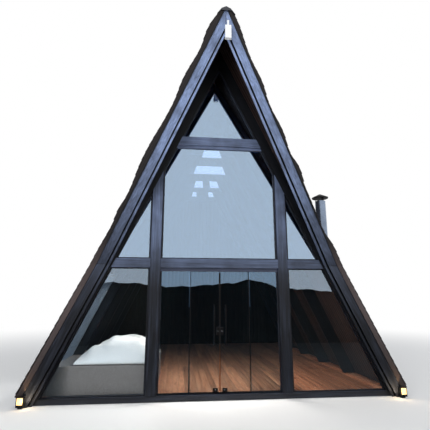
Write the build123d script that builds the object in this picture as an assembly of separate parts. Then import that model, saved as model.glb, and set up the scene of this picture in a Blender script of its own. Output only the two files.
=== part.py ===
from build123d import *
from math import cos, radians, sin, sqrt, tan
import os

# A timber A-frame cabin. X runs across the front, Y runs from the front gable
# to the back, Z is up, and the floor of the world is the level it stands on.
# All sizes are in millimetres.

# roof form
roof_angle = 64.6            # slope of both roof sides from the floor
half_width = 3301            # roof deck's outer face at floor level, from the centre line
room_length = 7200           # front glass to the back wall's boards
front_overhang_top = 1160    # how far the prow stands out at the ridge
front_overhang_foot = 153    # and below the knee, where its edge is upright
knee_height = 2300           # the prow leans out from here up
back_overhang = 300
deck_thickness = 40

# covering: shingles on battens that bulge between their fixings
covering_thickness = 85      # on the lower part of the slope
covering_at_ridge = 4
covering_foot = 120          # height at which the covering stops
drip_lip_height = 60         # a thicker edge along the foot
drip_lip_rise = 14
covering_drip = 18           # covering past the face of the barge boards
ridge_cap_fold = (70, 56)    # distance down the slope and rise off the deck, as below
ridge_cap_edge = (210, 80)
ridge_cap_sheet = 8
ridge_stop_sheet = 6         # closes the front end of the cap
ridge_stop_drop = 75

# crests and hollows of each side: distance down the slope from the ridge, then rise off the deck
bulges_left = (
    (490, 116), (930, 74), (1480, 104), (2080, 64), (3080, 108),
    (3860, 58), (4150, 82), (4420, 60), (5100, covering_thickness),
)
bulges_right = (
    (280, 84), (1030, 38), (1460, 62), (1950, 20), (2480, 54),
    (2870, 20), (3220, 70), (3620, 26), (4380, 20), (4880, covering_thickness),
)

# gable frame
gable_rafter_depth = 193
frame_depth = 120            # posts, rails and rafters, front to back
frame_proud = 62             # how far they stand in front of the glass
sill_height = 95
post_width = 187
post_inner = 1095            # half the clear width between the posts
mid_rail_bottom = 2250
mid_rail_height = 170
collar_bottom = 4667
collar_height = 180
collar_bead_height = 55      # a thin strip between the collar and the glass below it
collar_bead_proud = 30
arris = 6                    # eased edges of the front timbers
glass_thickness = 8

# barge boards
barge_width = 149
barge_thickness = 35
verge_strip_width = 70
verge_strip_lap = 14         # hidden behind the barge board
verge_strip_thickness = 26
verge_groove_width = 20      # a sunk line beside the barge board
verge_groove_depth = 18

# doors
leaf_thickness = 10
leaf_gap = 12                # between the planes of fixed and sliding leaves
leaf_overlap = 28
meeting_gap = 6              # between the two sliding leaves when shut
track_height = 62
track_wall = 6
bottom_track_height = 12
guide_height = 10
guide_width = 2
running_gap = 0.3
leaf_side_gap = 5
pull_setback = 104           # from the centre line
pull_bottom = 890
pull_length = 700
pull_diameter = 22
pull_standoff = 34
pull_pin_diameter = 14
pull_pin_places = (0.14, 0.86)    # along the pull
lock_width = 60
lock_height = 133
lock_bottom = 1064
lock_thickness = 14
bolt_edge = 40               # from the centre line to the near side of the bolt case
bolt_width = 88
bolt_height = 62

# inner frames
inner_rafter_depth = 250
inner_rafter_width = 80
inner_rafter_gap = 60        # between the side window and the first inner rafter
inner_rafter_spacing = 1400
inner_rafter_count = 4
tie_bottom = 5110
tie_height = 150
tie_width = 50

# floor and back wall
floor_height = 80
back_wall_thickness = 60

# side window in the left slope
window_front = 110           # behind the front glass
window_length = 1330
window_bottom = 430          # height of its lower edge
window_top = 2240
window_frame_width = 50
window_frame_proud = 30
window_reveal = 84           # how far its frame comes inside the deck

# flue on the right slope
flue_x = 2320
flue_behind_glass = 700
flue_diameter = 220
flue_wall = 12
flue_top = 3790
cap_diameter = 350
cap_height = 90
cap_rim = 14
cap_crown = 48               # flat top of the cap
cap_gap = 70
cap_strap_width = 30
cap_strap_thickness = 7
flashing_margin = 110
flashing_sheet = 6
flashing_collar_height = 150

# lamps
apex_lamp_width = 114
apex_lamp_height = 272
apex_lamp_depth = 60
apex_lamp_drop = 627         # its lower end below the apex of the deck
apex_lamp_aside = 40         # it hangs a little right of the joint
apex_bracket_height = 125
apex_bracket_width = 36
foot_lamp_width = 112
foot_lamp_height = 175
foot_lamp_depth = 80
foot_lamp_inset = 84
foot_lamp_stem = 28          # a narrower stand under the lamp
foot_lamp_stem_inset = 24

# bed behind the lower left pane
bed_height = 560
bed_front = 70               # behind the front frame
bed_length = 2000
bed_post_gap = 20
bed_under_slope = 125        # its left side, below the deck's outer face
bedding_inset = 20
bedding_edge = 120           # height of the thin left edge
mattress_height = 220
bedding_rise = 260
bedding_folds = (            # share of the width from the right, share of the rise
    (0.14, 0.8), (0.32, 1), (0.56, 0.88), (0.8, 0),
)

# derived places
slope = radians(roof_angle)
ridge_length = front_overhang_top + room_length + back_overhang
front_end = -ridge_length / 2
back_end = ridge_length / 2
glass_y = front_end + front_overhang_top
wall_y = glass_y + room_length
frame_front = glass_y - frame_proud
frame_back = frame_front + frame_depth
rafter_inner = deck_thickness + gable_rafter_depth
first_inner_rafter = window_front + window_length + inner_rafter_gap
inner_rafter_inner = deck_thickness + inner_rafter_depth
post_outer = post_inner + post_width
mid_rail_top = mid_rail_bottom + mid_rail_height
collar_top = collar_bottom + collar_height
collar_bead_bottom = collar_bottom - collar_bead_height
deck_apex = half_width * tan(slope)
barge_foot_y = glass_y - front_overhang_foot
barge_top_y = front_end + covering_drip + 4
lean = (barge_foot_y - barge_top_y) / (deck_apex - knee_height)
beyond = 1000                # cutters reach this far past the cabin


def intercept(offset):
    """Half width at floor level of the plane that lies offset inside the deck's outer face."""
    return half_width - offset / sin(slope)


def apex(offset):
    return intercept(offset) * tan(slope)


def section(points, start, end):
    """A prism along Y from an outline of (x, z) points."""
    face = make_face(Polyline(*[(x, start, z) for x, z in points], close=True))
    return extrude(face, amount=end - start, dir=(0, 1, 0))


def block(x0, x1, y0, y1, z0, z1):
    return Pos((x0 + x1) / 2, (y0 + y1) / 2, (z0 + z1) / 2) * Box(x1 - x0, y1 - y0, z1 - z0)


def slope_strip(outer, inner, start, end):
    """Left roof layer between two depths below the deck's outer face, down to the floor."""
    points = [
        (-intercept(outer), 0),
        (0, apex(outer)),
        (0, apex(inner)),
        (-intercept(inner), 0),
    ]
    return section(points, start, end)


def gable_space(offset, start, end):
    """The triangle under both slopes, offset below the deck's outer face."""
    points = [(-intercept(offset), 0), (intercept(offset), 0), (0, apex(offset))]
    return section(points, start, end)


def barge_face_y(z):
    return barge_foot_y - lean * max(z - knee_height, 0)


def leaning_slab(front, back):
    """What lies between two depths behind the face of the barge boards, which has a knee."""
    low = -beyond
    high = deck_apex + beyond
    points = [
        (barge_foot_y + front, low),
        (barge_foot_y + front, knee_height),
        (barge_face_y(high) + front, high),
        (barge_face_y(high) + back, high),
        (barge_foot_y + back, knee_height),
        (barge_foot_y + back, low),
    ]
    side = make_face(Polyline(*[(-half_width * 2, y, z) for y, z in points], close=True))
    return extrude(side, amount=half_width * 4, dir=(1, 0, 0))


def behind_barge(depth):
    """Everything behind the plane that lies depth behind the face of the barge boards."""
    return leaning_slab(depth, ridge_length * 2)


def mirrored(shape):
    return mirror(shape, about=Plane.YZ)


def slope_plane(y, height, offset):
    """A plane offset inside the left slope, with x along Y, y up the slope and z outwards.

    The height is that of the point on the deck's outer face which the plane is square to.
    """
    x = -(half_width - height / tan(slope))
    origin = (x + offset * sin(slope), y, height - offset * cos(slope))
    return Plane(origin=origin, x_dir=(0, -1, 0), z_dir=(-sin(slope), 0, cos(slope)))


def slope_opening(margin):
    """A cutter square to the left slope for the side window."""
    low = window_bottom
    high = window_top
    length = (high - low) / sin(slope)
    y = glass_y + window_front + window_length / 2
    plane = slope_plane(y, (low + high) / 2, 0)
    return plane * Box(window_length + 2 * margin, length + 2 * margin, beyond)


def covering_point(distance, rise):
    """The place on the left slope, distance down from the ridge and rise off the deck."""
    x = -distance * cos(slope) - rise * sin(slope)
    z = deck_apex - distance * sin(slope) + rise * cos(slope)
    return Vector(x, front_end + ridge_stop_sheet, z)


def bend(start, end):
    """An arc that leaves its start parallel to the deck."""
    run = end[0] - start[0]
    rise = end[1] - start[1]
    radius = (run * run + rise * rise) / (2 * rise)
    half_rise = radius - sqrt(radius * radius - run * run / 4) * (1 if radius > 0 else -1)
    middle = (start[0] + run / 2, start[1] + half_rise)
    return ThreePointArc(covering_point(*start), covering_point(*middle), covering_point(*end))


def swell(start, end):
    """Two arcs from a crest to a hollow or back, parallel to the deck at both ends."""
    middle = ((start[0] + end[0]) / 2, (start[1] + end[1]) / 2)
    return [bend(start, middle), bend(end, middle)]


def cap_profile(outward):
    """Ridge, fold and edge on the left half of the ridge cap, outward from its underside."""
    ridge = Vector(0, front_end + ridge_stop_sheet, deck_apex + covering_at_ridge)
    fold = covering_point(*ridge_cap_fold)
    edge = covering_point(*ridge_cap_edge)
    upper = (fold - ridge).normalized()
    lower = (edge - fold).normalized()
    upper_normal = Vector(upper.Z, 0, -upper.X)
    lower_normal = Vector(lower.Z, 0, -lower.X)
    at_fold = (upper_normal + lower_normal) * (outward / (1 + upper_normal.dot(lower_normal)))
    return [
        ridge + Vector(0, 0, outward / upper_normal.Z),
        fold + at_fold,
        edge + lower_normal * outward,
    ]


def roof_covering(bulges):
    """Left covering: flat against the deck, with an outer face that bulges between fixings."""
    start = front_end + ridge_stop_sheet
    foot_distance = (deck_apex - covering_foot) / sin(slope)
    lip_distance = foot_distance - drip_lip_height
    lip_rise = covering_thickness + drip_lip_rise
    under_cap = cap_profile(0)
    outline = [Line(a, b) for a, b in zip(under_cap, under_cap[1:])]
    outline.append(bend(bulges[0], ridge_cap_edge))
    for crest, hollow in zip(bulges, bulges[1:]):
        outline += swell(crest, hollow)
    corners = [
        covering_point(*bulges[-1]),
        covering_point(lip_distance, covering_thickness),
        covering_point(lip_distance, lip_rise),
        covering_point(foot_distance, lip_rise),
        covering_point(foot_distance, 0),
        Vector(0, start, deck_apex),
        under_cap[0],
    ]
    outline += [Line(a, b) for a, b in zip(corners, corners[1:])]
    body = extrude(make_face(Wire(outline)), amount=back_end - start, dir=(0, 1, 0))
    return body & behind_barge(-covering_drip)


def roof_deck():
    deck = slope_strip(0, deck_thickness, front_end - beyond, wall_y + back_overhang - barge_thickness)
    return deck & behind_barge(barge_thickness)


def ridge_cap():
    """A folded sheet over the ridge that follows both slopes, with a stop at its front end."""
    inner = [(point.X, point.Z) for point in cap_profile(0)]
    outer = [(point.X, point.Z) for point in cap_profile(ridge_cap_sheet)]

    def both_sides(half):
        return half + [(-x, z) for x, z in half[:0:-1]]

    cover = section(both_sides(outer), front_end, back_end)
    stop = cover & block(
        -half_width, half_width, front_end, front_end + ridge_stop_sheet,
        deck_apex - ridge_stop_drop, deck_apex + beyond,
    )
    return cover - section(both_sides(inner), front_end, back_end) + stop


def barge_board():
    strip = slope_strip(0, barge_width, front_end - beyond, glass_y)
    return strip & leaning_slab(0, barge_thickness)


def verge_strip():
    """A strip behind the barge board's inner edge, with a sunk line between the two."""
    inner = barge_width + verge_strip_width - verge_strip_lap
    strip = slope_strip(barge_width - verge_strip_lap, inner, front_end - beyond, glass_y)
    strip &= leaning_slab(barge_thickness, barge_thickness + verge_strip_thickness)
    groove = slope_strip(barge_width, barge_width + verge_groove_width, front_end - beyond, glass_y)
    return strip - (groove & leaning_slab(0, barge_thickness + verge_groove_depth))


def back_barge_board():
    return slope_strip(0, barge_width, back_end - barge_thickness, back_end)


def gable_rafter(front):
    """A rafter under the deck in the plane of a gable, on the left."""
    return slope_strip(deck_thickness, rafter_inner, front, front + frame_depth)


def eased(body, axis):
    """Takes the arris off the front edges that run along an axis."""
    face_y = body.bounding_box().min.Y
    return chamfer(body.edges().filter_by(axis).filter_by_position(Axis.Y, face_y - 1, face_y + 1), arris)


def front_sill():
    beam = block(-half_width, half_width, frame_front, frame_back, 0, sill_height)
    edge = beam.edges().filter_by(Axis.X).filter_by_position(Axis.Y, frame_front - 1, frame_front + 1)
    beam = chamfer(edge.sort_by(Axis.Z)[-1], arris)
    return beam & gable_space(rafter_inner, frame_front, frame_back)


def front_post():
    """A post from the sill to the rafter, or to the collar where that comes first."""
    body = block(-post_outer, -post_inner, frame_front, frame_back, sill_height, collar_bead_bottom)
    return eased(body, Axis.Z) & gable_space(rafter_inner, frame_front, frame_back)


def front_mid_rail():
    """Three lengths of rail, cut off by the posts and by the rafters."""
    beam = block(-half_width, half_width, frame_front, frame_back, mid_rail_bottom, mid_rail_top)
    rail = eased(beam, Axis.X) & gable_space(rafter_inner, frame_front, frame_back)
    for side in (-1, 1):
        middle = side * (post_inner + post_outer) / 2
        rail -= block(
            middle - post_width / 2, middle + post_width / 2,
            frame_front - 1, frame_back + 1, mid_rail_bottom - 1, mid_rail_top + 1,
        )
    return rail


def collar_beam():
    """The collar between the rafters, with a thin set-back strip under it."""
    beam = block(-half_width, half_width, frame_front, frame_back, collar_bottom, collar_top)
    bead_front = glass_y - collar_bead_proud
    bead = block(-half_width, half_width, bead_front, frame_back, collar_bead_bottom, collar_bottom)
    return (eased(beam, Axis.X) + bead) & gable_space(rafter_inner, frame_front, frame_back)


def pane(space_offset, x0, x1, z0, z1):
    """A sheet of glass that fills part of the gable."""
    start = glass_y
    end = glass_y + glass_thickness
    return gable_space(space_offset, start, end) & block(x0, x1, start, end, z0, z1)


def front_glass_top():
    return pane(rafter_inner, -half_width, half_width, collar_top, deck_apex)


def front_glass_upper_centre():
    return pane(rafter_inner, -post_inner, post_inner, mid_rail_top, collar_bead_bottom)


def front_glass_upper_left():
    return pane(rafter_inner, -half_width, -post_outer, mid_rail_top, deck_apex)


def front_glass_lower_left():
    return pane(rafter_inner, -half_width, -post_outer, sill_height, mid_rail_bottom)


# door planes and places
fixed_front = glass_y
fixed_back = fixed_front + leaf_thickness
sliding_front = fixed_back + leaf_gap
sliding_back = sliding_front + leaf_thickness
leaf_width = post_inner / 2
leaf_bottom = sill_height + bottom_track_height
leaf_top = mid_rail_bottom - track_height
fixed_edge = leaf_width - leaf_overlap / 2
sliding_edge = leaf_width + leaf_overlap / 2


def fixed_leaf():
    return block(
        -post_inner, -fixed_edge, fixed_front, fixed_back,
        leaf_bottom, leaf_top + track_wall,
    )


def sliding_leaf():
    return block(
        -sliding_edge, -meeting_gap / 2, sliding_front, sliding_back,
        leaf_bottom + running_gap, leaf_top + track_wall * 3,
    )


def track_top():
    """A box section under the mid rail with one groove for each plane of leaves."""
    front = fixed_front - track_wall * 2
    back = sliding_back + leaf_side_gap + track_wall
    body = block(-post_inner, post_inner, front, back, leaf_top, mid_rail_bottom)
    body -= block(
        -post_inner - 1, post_inner + 1,
        sliding_front - leaf_side_gap, sliding_back + leaf_side_gap,
        leaf_top - 1, leaf_top + track_wall * 4,
    )
    body -= block(
        -post_inner - 1, post_inner + 1, fixed_front, fixed_back,
        leaf_top - 1, leaf_top + track_wall,
    )
    return body


def track_bottom():
    """A flat bar on the sill with two guide ribs beside the sliding leaves."""
    front = fixed_front - track_wall * 2
    back = sliding_back + leaf_side_gap + guide_width
    top = sill_height + bottom_track_height
    body = block(-post_inner, post_inner, front, back, sill_height, top)
    body += block(
        -post_inner, post_inner,
        sliding_front - leaf_side_gap - guide_width, sliding_front - leaf_side_gap,
        top, top + guide_height,
    )
    body += block(-post_inner, post_inner, back - guide_width, back, top, top + guide_height)
    return body


def round_bar(x, y, z0, z1, diameter):
    return Pos(x, y, (z0 + z1) / 2) * Cylinder(diameter / 2, z1 - z0)


def door_pull():
    """A bar outside and one inside, joined by two pins that pass beside the glass edge clamps."""
    x = -pull_setback
    pins_at = [pull_bottom + pull_length * share for share in pull_pin_places]
    outside_y = sliding_front - pull_standoff
    inside_y = sliding_back + pull_standoff
    pull = round_bar(x, outside_y, pull_bottom, pull_bottom + pull_length, pull_diameter)
    pull += round_bar(x, inside_y, pull_bottom, pull_bottom + pull_length, pull_diameter)
    for height in pins_at:
        middle = (outside_y + inside_y) / 2
        pin = Cylinder(pull_pin_diameter / 2, inside_y - outside_y)
        pull += Pos(x, middle, height) * Rot(90, 0, 0) * pin
    return pull


def pull_holes():
    """The holes through a sliding leaf for the pins of its pull."""
    holes = []
    for share in pull_pin_places:
        height = pull_bottom + pull_length * share
        middle = (sliding_front + sliding_back) / 2
        hole = Pos(-pull_setback, middle, height) * Rot(90, 0, 0)
        holes.append(hole * Cylinder(pull_pin_diameter / 2 + running_gap, leaf_thickness * 3))
    return holes


def door_lock():
    """The lock case at hand height and the bolt case at the foot, both on the outer face."""
    edge = -meeting_gap / 2
    case = block(
        edge - lock_width, edge, sliding_front - lock_thickness, sliding_front,
        lock_bottom, lock_bottom + lock_height,
    )
    foot = leaf_bottom + guide_height + leaf_side_gap
    bolt_right = -bolt_edge
    bolt = block(
        bolt_right - bolt_width, bolt_right, sliding_front - lock_thickness, sliding_front,
        foot, foot + bolt_height,
    )
    return Compound(children=[case, bolt])


def floor_slab():
    """The floor fills the room between the gable frame and the back wall."""
    body = gable_space(inner_rafter_inner, frame_back, wall_y)
    return body & block(-half_width, half_width, frame_back, wall_y, 0, floor_height)


def back_wall():
    """A boarded wall that closes the back gable up to the underside of the deck."""
    return gable_space(deck_thickness, wall_y, wall_y + back_wall_thickness)


def inner_rafter_places():
    first = glass_y + first_inner_rafter
    return [first + inner_rafter_spacing * number for number in range(inner_rafter_count)]


def inner_rafters():
    """The left rafters of the inner frames."""
    rafters = []
    for y in inner_rafter_places():
        rafters.append(slope_strip(deck_thickness, inner_rafter_inner, y, y + inner_rafter_width))
    return rafters


def inner_ties():
    ties = []
    for y in inner_rafter_places():
        start = y + (inner_rafter_width - tie_width) / 2
        space = gable_space(inner_rafter_inner, start, start + tie_width)
        top = tie_bottom + tie_height
        ties.append(space & block(-half_width, half_width, start, start + tie_width, tie_bottom, top))
    return ties


def window_frame():
    """A square-cut frame in the left slope, proud of the covering."""
    y = glass_y + window_front + window_length / 2
    length = (window_top - window_bottom) / sin(slope)
    proud = covering_thickness + window_frame_proud
    inside = deck_thickness + window_reveal
    depth = proud + inside
    plane = slope_plane(y, (window_bottom + window_top) / 2, (inside - proud) / 2)
    outer = plane * Box(window_length, length, depth)
    opening = plane * Box(
        window_length - 2 * window_frame_width, length - 2 * window_frame_width, depth + 2,
    )
    return outer - opening


def window_glass():
    y = glass_y + window_front + window_length / 2
    length = (window_top - window_bottom) / sin(slope)
    plane = slope_plane(y, (window_bottom + window_top) / 2, -covering_thickness / 2)
    return plane * Box(
        window_length - 2 * window_frame_width, length - 2 * window_frame_width, glass_thickness,
    )


# flue
flue_y = glass_y + flue_behind_glass


def covering_solid_right(outer):
    """What lies below the plane that is outer above the deck, on the right slope."""
    points = [
        (0, 0),
        (intercept(-outer), 0),
        (0, apex(-outer)),
    ]
    return section(points, glass_y, wall_y)


def flue_pipe():
    height = flue_top
    tube = Pos(flue_x, flue_y, height / 2) * Cylinder(flue_diameter / 2, height)
    bore = Pos(flue_x, flue_y, height / 2) * Cylinder(flue_diameter / 2 - flue_wall, height + 2)
    return tube - bore - covering_solid_right(covering_thickness + flashing_sheet)


def flue_cap():
    """A conical rain cap on three straps."""
    base = flue_top + cap_gap
    cone = Pos(flue_x, flue_y, base + cap_rim + (cap_height - cap_rim) / 2) * Cone(
        cap_diameter / 2, cap_crown / 2, cap_height - cap_rim,
    )
    rim = Pos(flue_x, flue_y, base + cap_rim / 2) * Cylinder(cap_diameter / 2, cap_rim)
    cap = cone + rim
    strap_at = flue_diameter / 2 - flue_wall / 2
    for number in range(3):
        turn = 360 * number / 3 + 30
        strap = Pos(flue_x, flue_y, 0) * Rot(0, 0, turn) * Pos(strap_at, 0, flue_top + cap_gap / 2)
        cap += strap * Box(cap_strap_thickness, cap_strap_width, cap_gap)
    return cap


def flue_flashing():
    """A sheet on the covering with a collar that follows the pipe."""
    outer = covering_thickness + flashing_sheet
    height = (half_width + outer / sin(slope) - flue_x) * tan(slope)
    plane = Plane(
        origin=(flue_x, flue_y, height), x_dir=(0, 1, 0), z_dir=(sin(slope), 0, cos(slope)),
    )
    width = flue_diameter + 2 * flashing_margin
    length = flue_diameter / cos(slope) + 2 * flashing_margin
    sheet = plane * Pos(0, 0, -flashing_sheet / 2) * Box(width, length, flashing_sheet)
    rise = flue_diameter / 2 * tan(slope)
    collar_top_z = height + rise + flashing_collar_height
    bottom = height - rise - flashing_margin
    outer_radius = flue_diameter / 2 + running_gap + flashing_sheet
    collar = Pos(flue_x, flue_y, (collar_top_z + bottom) / 2) * Cylinder(outer_radius, collar_top_z - bottom)
    collar -= covering_solid_right(outer)
    body = sheet + collar
    bore = Pos(flue_x, flue_y, (collar_top_z + bottom) / 2) * Cylinder(
        flue_diameter / 2 + running_gap, collar_top_z - bottom + 2,
    )
    body -= bore & block(
        0, half_width * 2, glass_y, wall_y, 0, deck_apex,
    ) - covering_solid_right(outer)
    return body


def apex_lamp():
    """A box lamp under a bracket on the joint of the barge boards."""
    lamp_bottom = deck_apex - apex_lamp_drop
    lamp_top = lamp_bottom + apex_lamp_height
    bracket_top = lamp_top + apex_bracket_height
    back = barge_face_y(lamp_top) - 2
    front = back - apex_lamp_depth
    body = block(-apex_lamp_width / 2, apex_lamp_width / 2, front, back, lamp_bottom, lamp_top)
    body = chamfer(body.edges().filter_by(Axis.Z), arris)
    middle = (front + back) / 2
    bracket = block(
        -apex_bracket_width / 2, apex_bracket_width / 2,
        middle, barge_foot_y, lamp_top, bracket_top,
    )
    bracket -= behind_barge(0)
    return Pos(apex_lamp_aside, 0, 0) * (body + bracket)


def foot_lamp():
    """A small lamp on a stand in front of the foot of the left barge board."""
    x = -(intercept(0) - foot_lamp_inset)
    half = foot_lamp_width / 2
    back = barge_foot_y - covering_drip - 1
    front = back - foot_lamp_depth
    body = block(x - half, x + half, front, back, foot_lamp_stem, foot_lamp_height)
    inset = foot_lamp_stem_inset
    return body + block(x - half + inset, x + half - inset, front + inset, barge_foot_y, 0, foot_lamp_stem)


def bed_base():
    """A closed platform that fits under the slope behind the lower left pane."""
    front = frame_back + bed_front
    end = front + bed_length
    space = gable_space(bed_under_slope, front, end)
    body = space & block(-half_width, -post_inner - bed_post_gap, front, end, floor_height, bed_height)
    for y in inner_rafter_places():
        if y < end:
            rafter = slope_strip(
                deck_thickness, inner_rafter_inner + 1, y - 1, y + inner_rafter_width + 1,
            )
            body -= rafter
    return body


def bedding():
    """Mattress and cover as one soft form with a crowned top."""
    front = frame_back + bed_front + bedding_inset
    end = front + bed_length - 2 * bedding_inset
    right = -post_inner - bed_post_gap - bedding_inset
    left = -(intercept(inner_rafter_inner) - (bed_height + mattress_height) / tan(slope))
    bottom = bed_height + running_gap
    side = bed_height + mattress_height
    width = right - left
    outline = [(left, bottom), (right, bottom), (right, side)]
    for across, up in bedding_folds:
        outline.append((right - width * across, side + bedding_rise * up))
    outline.append((left, bottom + bedding_edge))
    return section(outline, front, end)


def make_parts():
    opening = slope_opening(0)
    deck_left = roof_deck()
    covering_left = roof_covering(bulges_left)
    leaf = sliding_leaf()
    for hole in pull_holes():
        leaf -= hole
    rafters_left = inner_rafters()
    side_pane = front_glass_upper_left()
    upper_panes = [side_pane, front_glass_upper_centre(), mirrored(side_pane)]
    parts = {
        "floor": floor_slab(),
        "roof_deck_left": deck_left - opening,
        "roof_deck_right": mirrored(deck_left),
        "roof_covering_left": covering_left - opening,
        "roof_covering_right": mirrored(roof_covering(bulges_right)),
        "ridge_cap": ridge_cap(),
        "barge_board_front_left": barge_board(),
        "barge_board_front_right": mirrored(barge_board()),
        "verge_strip_left": verge_strip(),
        "verge_strip_right": mirrored(verge_strip()),
        "barge_board_back_left": back_barge_board(),
        "barge_board_back_right": mirrored(back_barge_board()),
        "gable_rafter_front_left": gable_rafter(frame_front),
        "gable_rafter_front_right": mirrored(gable_rafter(frame_front)),
        "front_sill": front_sill(),
        "front_post_left": front_post(),
        "front_post_right": mirrored(front_post()),
        "front_mid_rail": front_mid_rail(),
        "front_collar_beam": collar_beam(),
        "front_glass_top": front_glass_top(),
        "front_glass_upper": Compound(children=upper_panes),
        "front_glass_lower_left": front_glass_lower_left(),
        "front_glass_lower_right": mirrored(front_glass_lower_left()),
        "door_track_top": track_top(),
        "door_track_bottom": track_bottom(),
        "door_leaf_fixed_left": fixed_leaf(),
        "door_leaf_fixed_right": mirrored(fixed_leaf()),
        "door_leaf_sliding_left": leaf,
        "door_leaf_sliding_right": mirrored(leaf),
        "door_pull_left": door_pull(),
        "door_pull_right": mirrored(door_pull()),
        "door_lock_left": door_lock(),
        "door_lock_right": mirrored(door_lock()),
        "back_wall": back_wall(),
        "inner_rafters_left": Compound(children=rafters_left),
        "inner_rafters_right": Compound(children=[mirrored(rafter) for rafter in rafters_left]),
        "inner_collar_ties": Compound(children=inner_ties()),
        "side_window_frame": window_frame(),
        "side_window_glass": window_glass(),
        "flue_pipe": flue_pipe(),
        "flue_cap": flue_cap(),
        "flue_flashing": flue_flashing(),
        "apex_lamp": apex_lamp(),
        "foot_lamp_left": foot_lamp(),
        "foot_lamp_right": mirrored(foot_lamp()),
        "bed_base": bed_base(),
        "bedding": bedding(),
    }
    return parts


os.makedirs("parts", exist_ok=True)
for node, shape in make_parts().items():
    export_step(shape, f"parts/{node}.step")
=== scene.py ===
import bmesh
import bpy
from math import atan, atan2, cos, pi, radians, sin, tan
from mathutils import Matrix, Vector, noise
from random import Random


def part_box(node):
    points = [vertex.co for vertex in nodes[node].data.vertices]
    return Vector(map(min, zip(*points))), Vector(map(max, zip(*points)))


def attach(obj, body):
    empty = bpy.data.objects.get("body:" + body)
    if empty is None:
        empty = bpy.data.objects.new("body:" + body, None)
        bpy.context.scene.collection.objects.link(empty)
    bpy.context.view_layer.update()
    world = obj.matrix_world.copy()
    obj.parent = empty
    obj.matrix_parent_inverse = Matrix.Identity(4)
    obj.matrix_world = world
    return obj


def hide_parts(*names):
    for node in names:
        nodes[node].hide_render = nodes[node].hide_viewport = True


# Black timber A-frame cabin: looks built round the CAD frame, in metres
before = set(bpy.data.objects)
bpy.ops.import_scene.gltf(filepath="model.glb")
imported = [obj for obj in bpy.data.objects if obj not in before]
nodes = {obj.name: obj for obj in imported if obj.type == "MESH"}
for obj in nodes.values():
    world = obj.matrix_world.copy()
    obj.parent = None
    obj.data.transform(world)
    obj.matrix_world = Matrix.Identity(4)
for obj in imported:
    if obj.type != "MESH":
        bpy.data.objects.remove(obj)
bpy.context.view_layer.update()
mm = 0.001
bothSides = ((-1, "left"), (1, "right"))

# Places read from the frame
wallLow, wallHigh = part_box("back_wall")
deckLow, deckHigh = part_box("roof_deck_left")
bargeLow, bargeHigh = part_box("barge_board_front_left")
coverLow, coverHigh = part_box("roof_covering_left")
postLow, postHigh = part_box("front_post_left")
floorLow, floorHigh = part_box("floor")
bedLow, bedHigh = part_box("bed_base")
windowLow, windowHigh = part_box("side_window_frame")
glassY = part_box("front_glass_top")[0].y
slope = atan(wallHigh.z / wallHigh.x)
halfWidth = -deckLow.x
ridgeZ = deckHigh.z
deckFace = halfWidth * sin(slope)            # how far a deck's outer face lies from the middle of the base
bargeThickness = 35 * mm
deckThickness = 40 * mm
rafterDepth = deckThickness + 193 * mm       # from a deck's outer face to the gable rafters' inner edge
bargeFootY = bargeHigh.y - bargeThickness    # face of the barge boards below their knee
bargeCorners = [vertex.co for vertex in nodes["barge_board_front_left"].data.vertices]
kneeZ = max(point.z for point in bargeCorners if abs(point.y - bargeFootY) < 1 * mm)
lean = (bargeFootY - bargeLow.y) / (bargeHigh.z - kneeZ)


def roofPoint(side, down, rise):
    # a point on a roof side: down from the ridge along the deck, rise off it
    x = down * cos(slope) + rise * sin(slope)
    return Vector((side * x, 0, ridgeZ - down * sin(slope) + rise * cos(slope)))


def downAt(height):
    return (ridgeZ - height) / sin(slope)


def underRoof(z, depth):
    # half width of the space that lies depth under the deck's outer face
    return halfWidth - depth / sin(slope) - z / tan(slope)


def between(pairs, at):
    # the two neighbours in a list of (place, value) pairs, and how far at lies from one to the other
    before, after = [pair for pair in zip(pairs, pairs[1:]) if pair[0][0] <= at <= pair[1][0]][0]
    return before[1], after[1], (at - before[0]) / (after[0] - before[0])


# Nodes

def linear(hexColour):
    channels = [int(hexColour[i:i + 2], 16) / 255 for i in (1, 3, 5)]
    return tuple(c / 12.92 if c <= 0.04045 else ((c + 0.055) / 1.055) ** 2.4 for c in channels) + (1,)


def addNode(tree, kind, settings=None, inputs=None, stops=None):
    # an input takes a value or another node's output; stops are a ramp's places and colours
    node = tree.nodes.new(kind)
    for name, value in (settings or {}).items():
        setattr(node, name, value)
    for socket, value in (inputs or {}).items():
        if isinstance(value, bpy.types.NodeSocket):
            tree.links.new(value, node.inputs[socket])
        else:
            node.inputs[socket].default_value = value
    for number, (place, colour) in enumerate(stops or []):
        points = node.color_ramp.elements
        point = points[number] if number < 2 else points.new(place)
        point.position = place
        point.color = linear(colour)
    return node


def compute(tree, operation, *operands, clamp=False):
    settings = {"operation": operation, "use_clamp": clamp}
    return addNode(tree, "ShaderNodeMath", settings, dict(enumerate(operands))).outputs[0]


def scaleVector(tree, vector, factor):
    inputs = {0: vector, "Scale": factor}
    return addNode(tree, "ShaderNodeVectorMath", {"operation": "SCALE"}, inputs).outputs[0]


def remap(tree, value, fromLow, fromHigh, toLow, toHigh, kind="LINEAR"):
    inputs = {0: value, 1: fromLow, 2: fromHigh, 3: toLow, 4: toHigh}
    return addNode(tree, "ShaderNodeMapRange", {"interpolation_type": kind}, inputs).outputs[0]


def partsOf(tree, vector):
    return addNode(tree, "ShaderNodeSeparateXYZ", {}, {0: vector}).outputs


def vectorOf(tree, **parts):
    return addNode(tree, "ShaderNodeCombineXYZ", {}, parts).outputs[0]


def mapPlace(tree, place, **inputs):
    return addNode(tree, "ShaderNodeMapping", {}, {"Vector": place, **inputs}).outputs[0]


def cloudNoise(tree, place, scale, **inputs):
    return addNode(tree, "ShaderNodeTexNoise", {}, {"Vector": place, "Scale": scale, **inputs}).outputs["Fac"]


def colourRamp(tree, share, *stops):
    return addNode(tree, "ShaderNodeValToRGB", {}, {"Fac": share}, stops).outputs[0]


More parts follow.
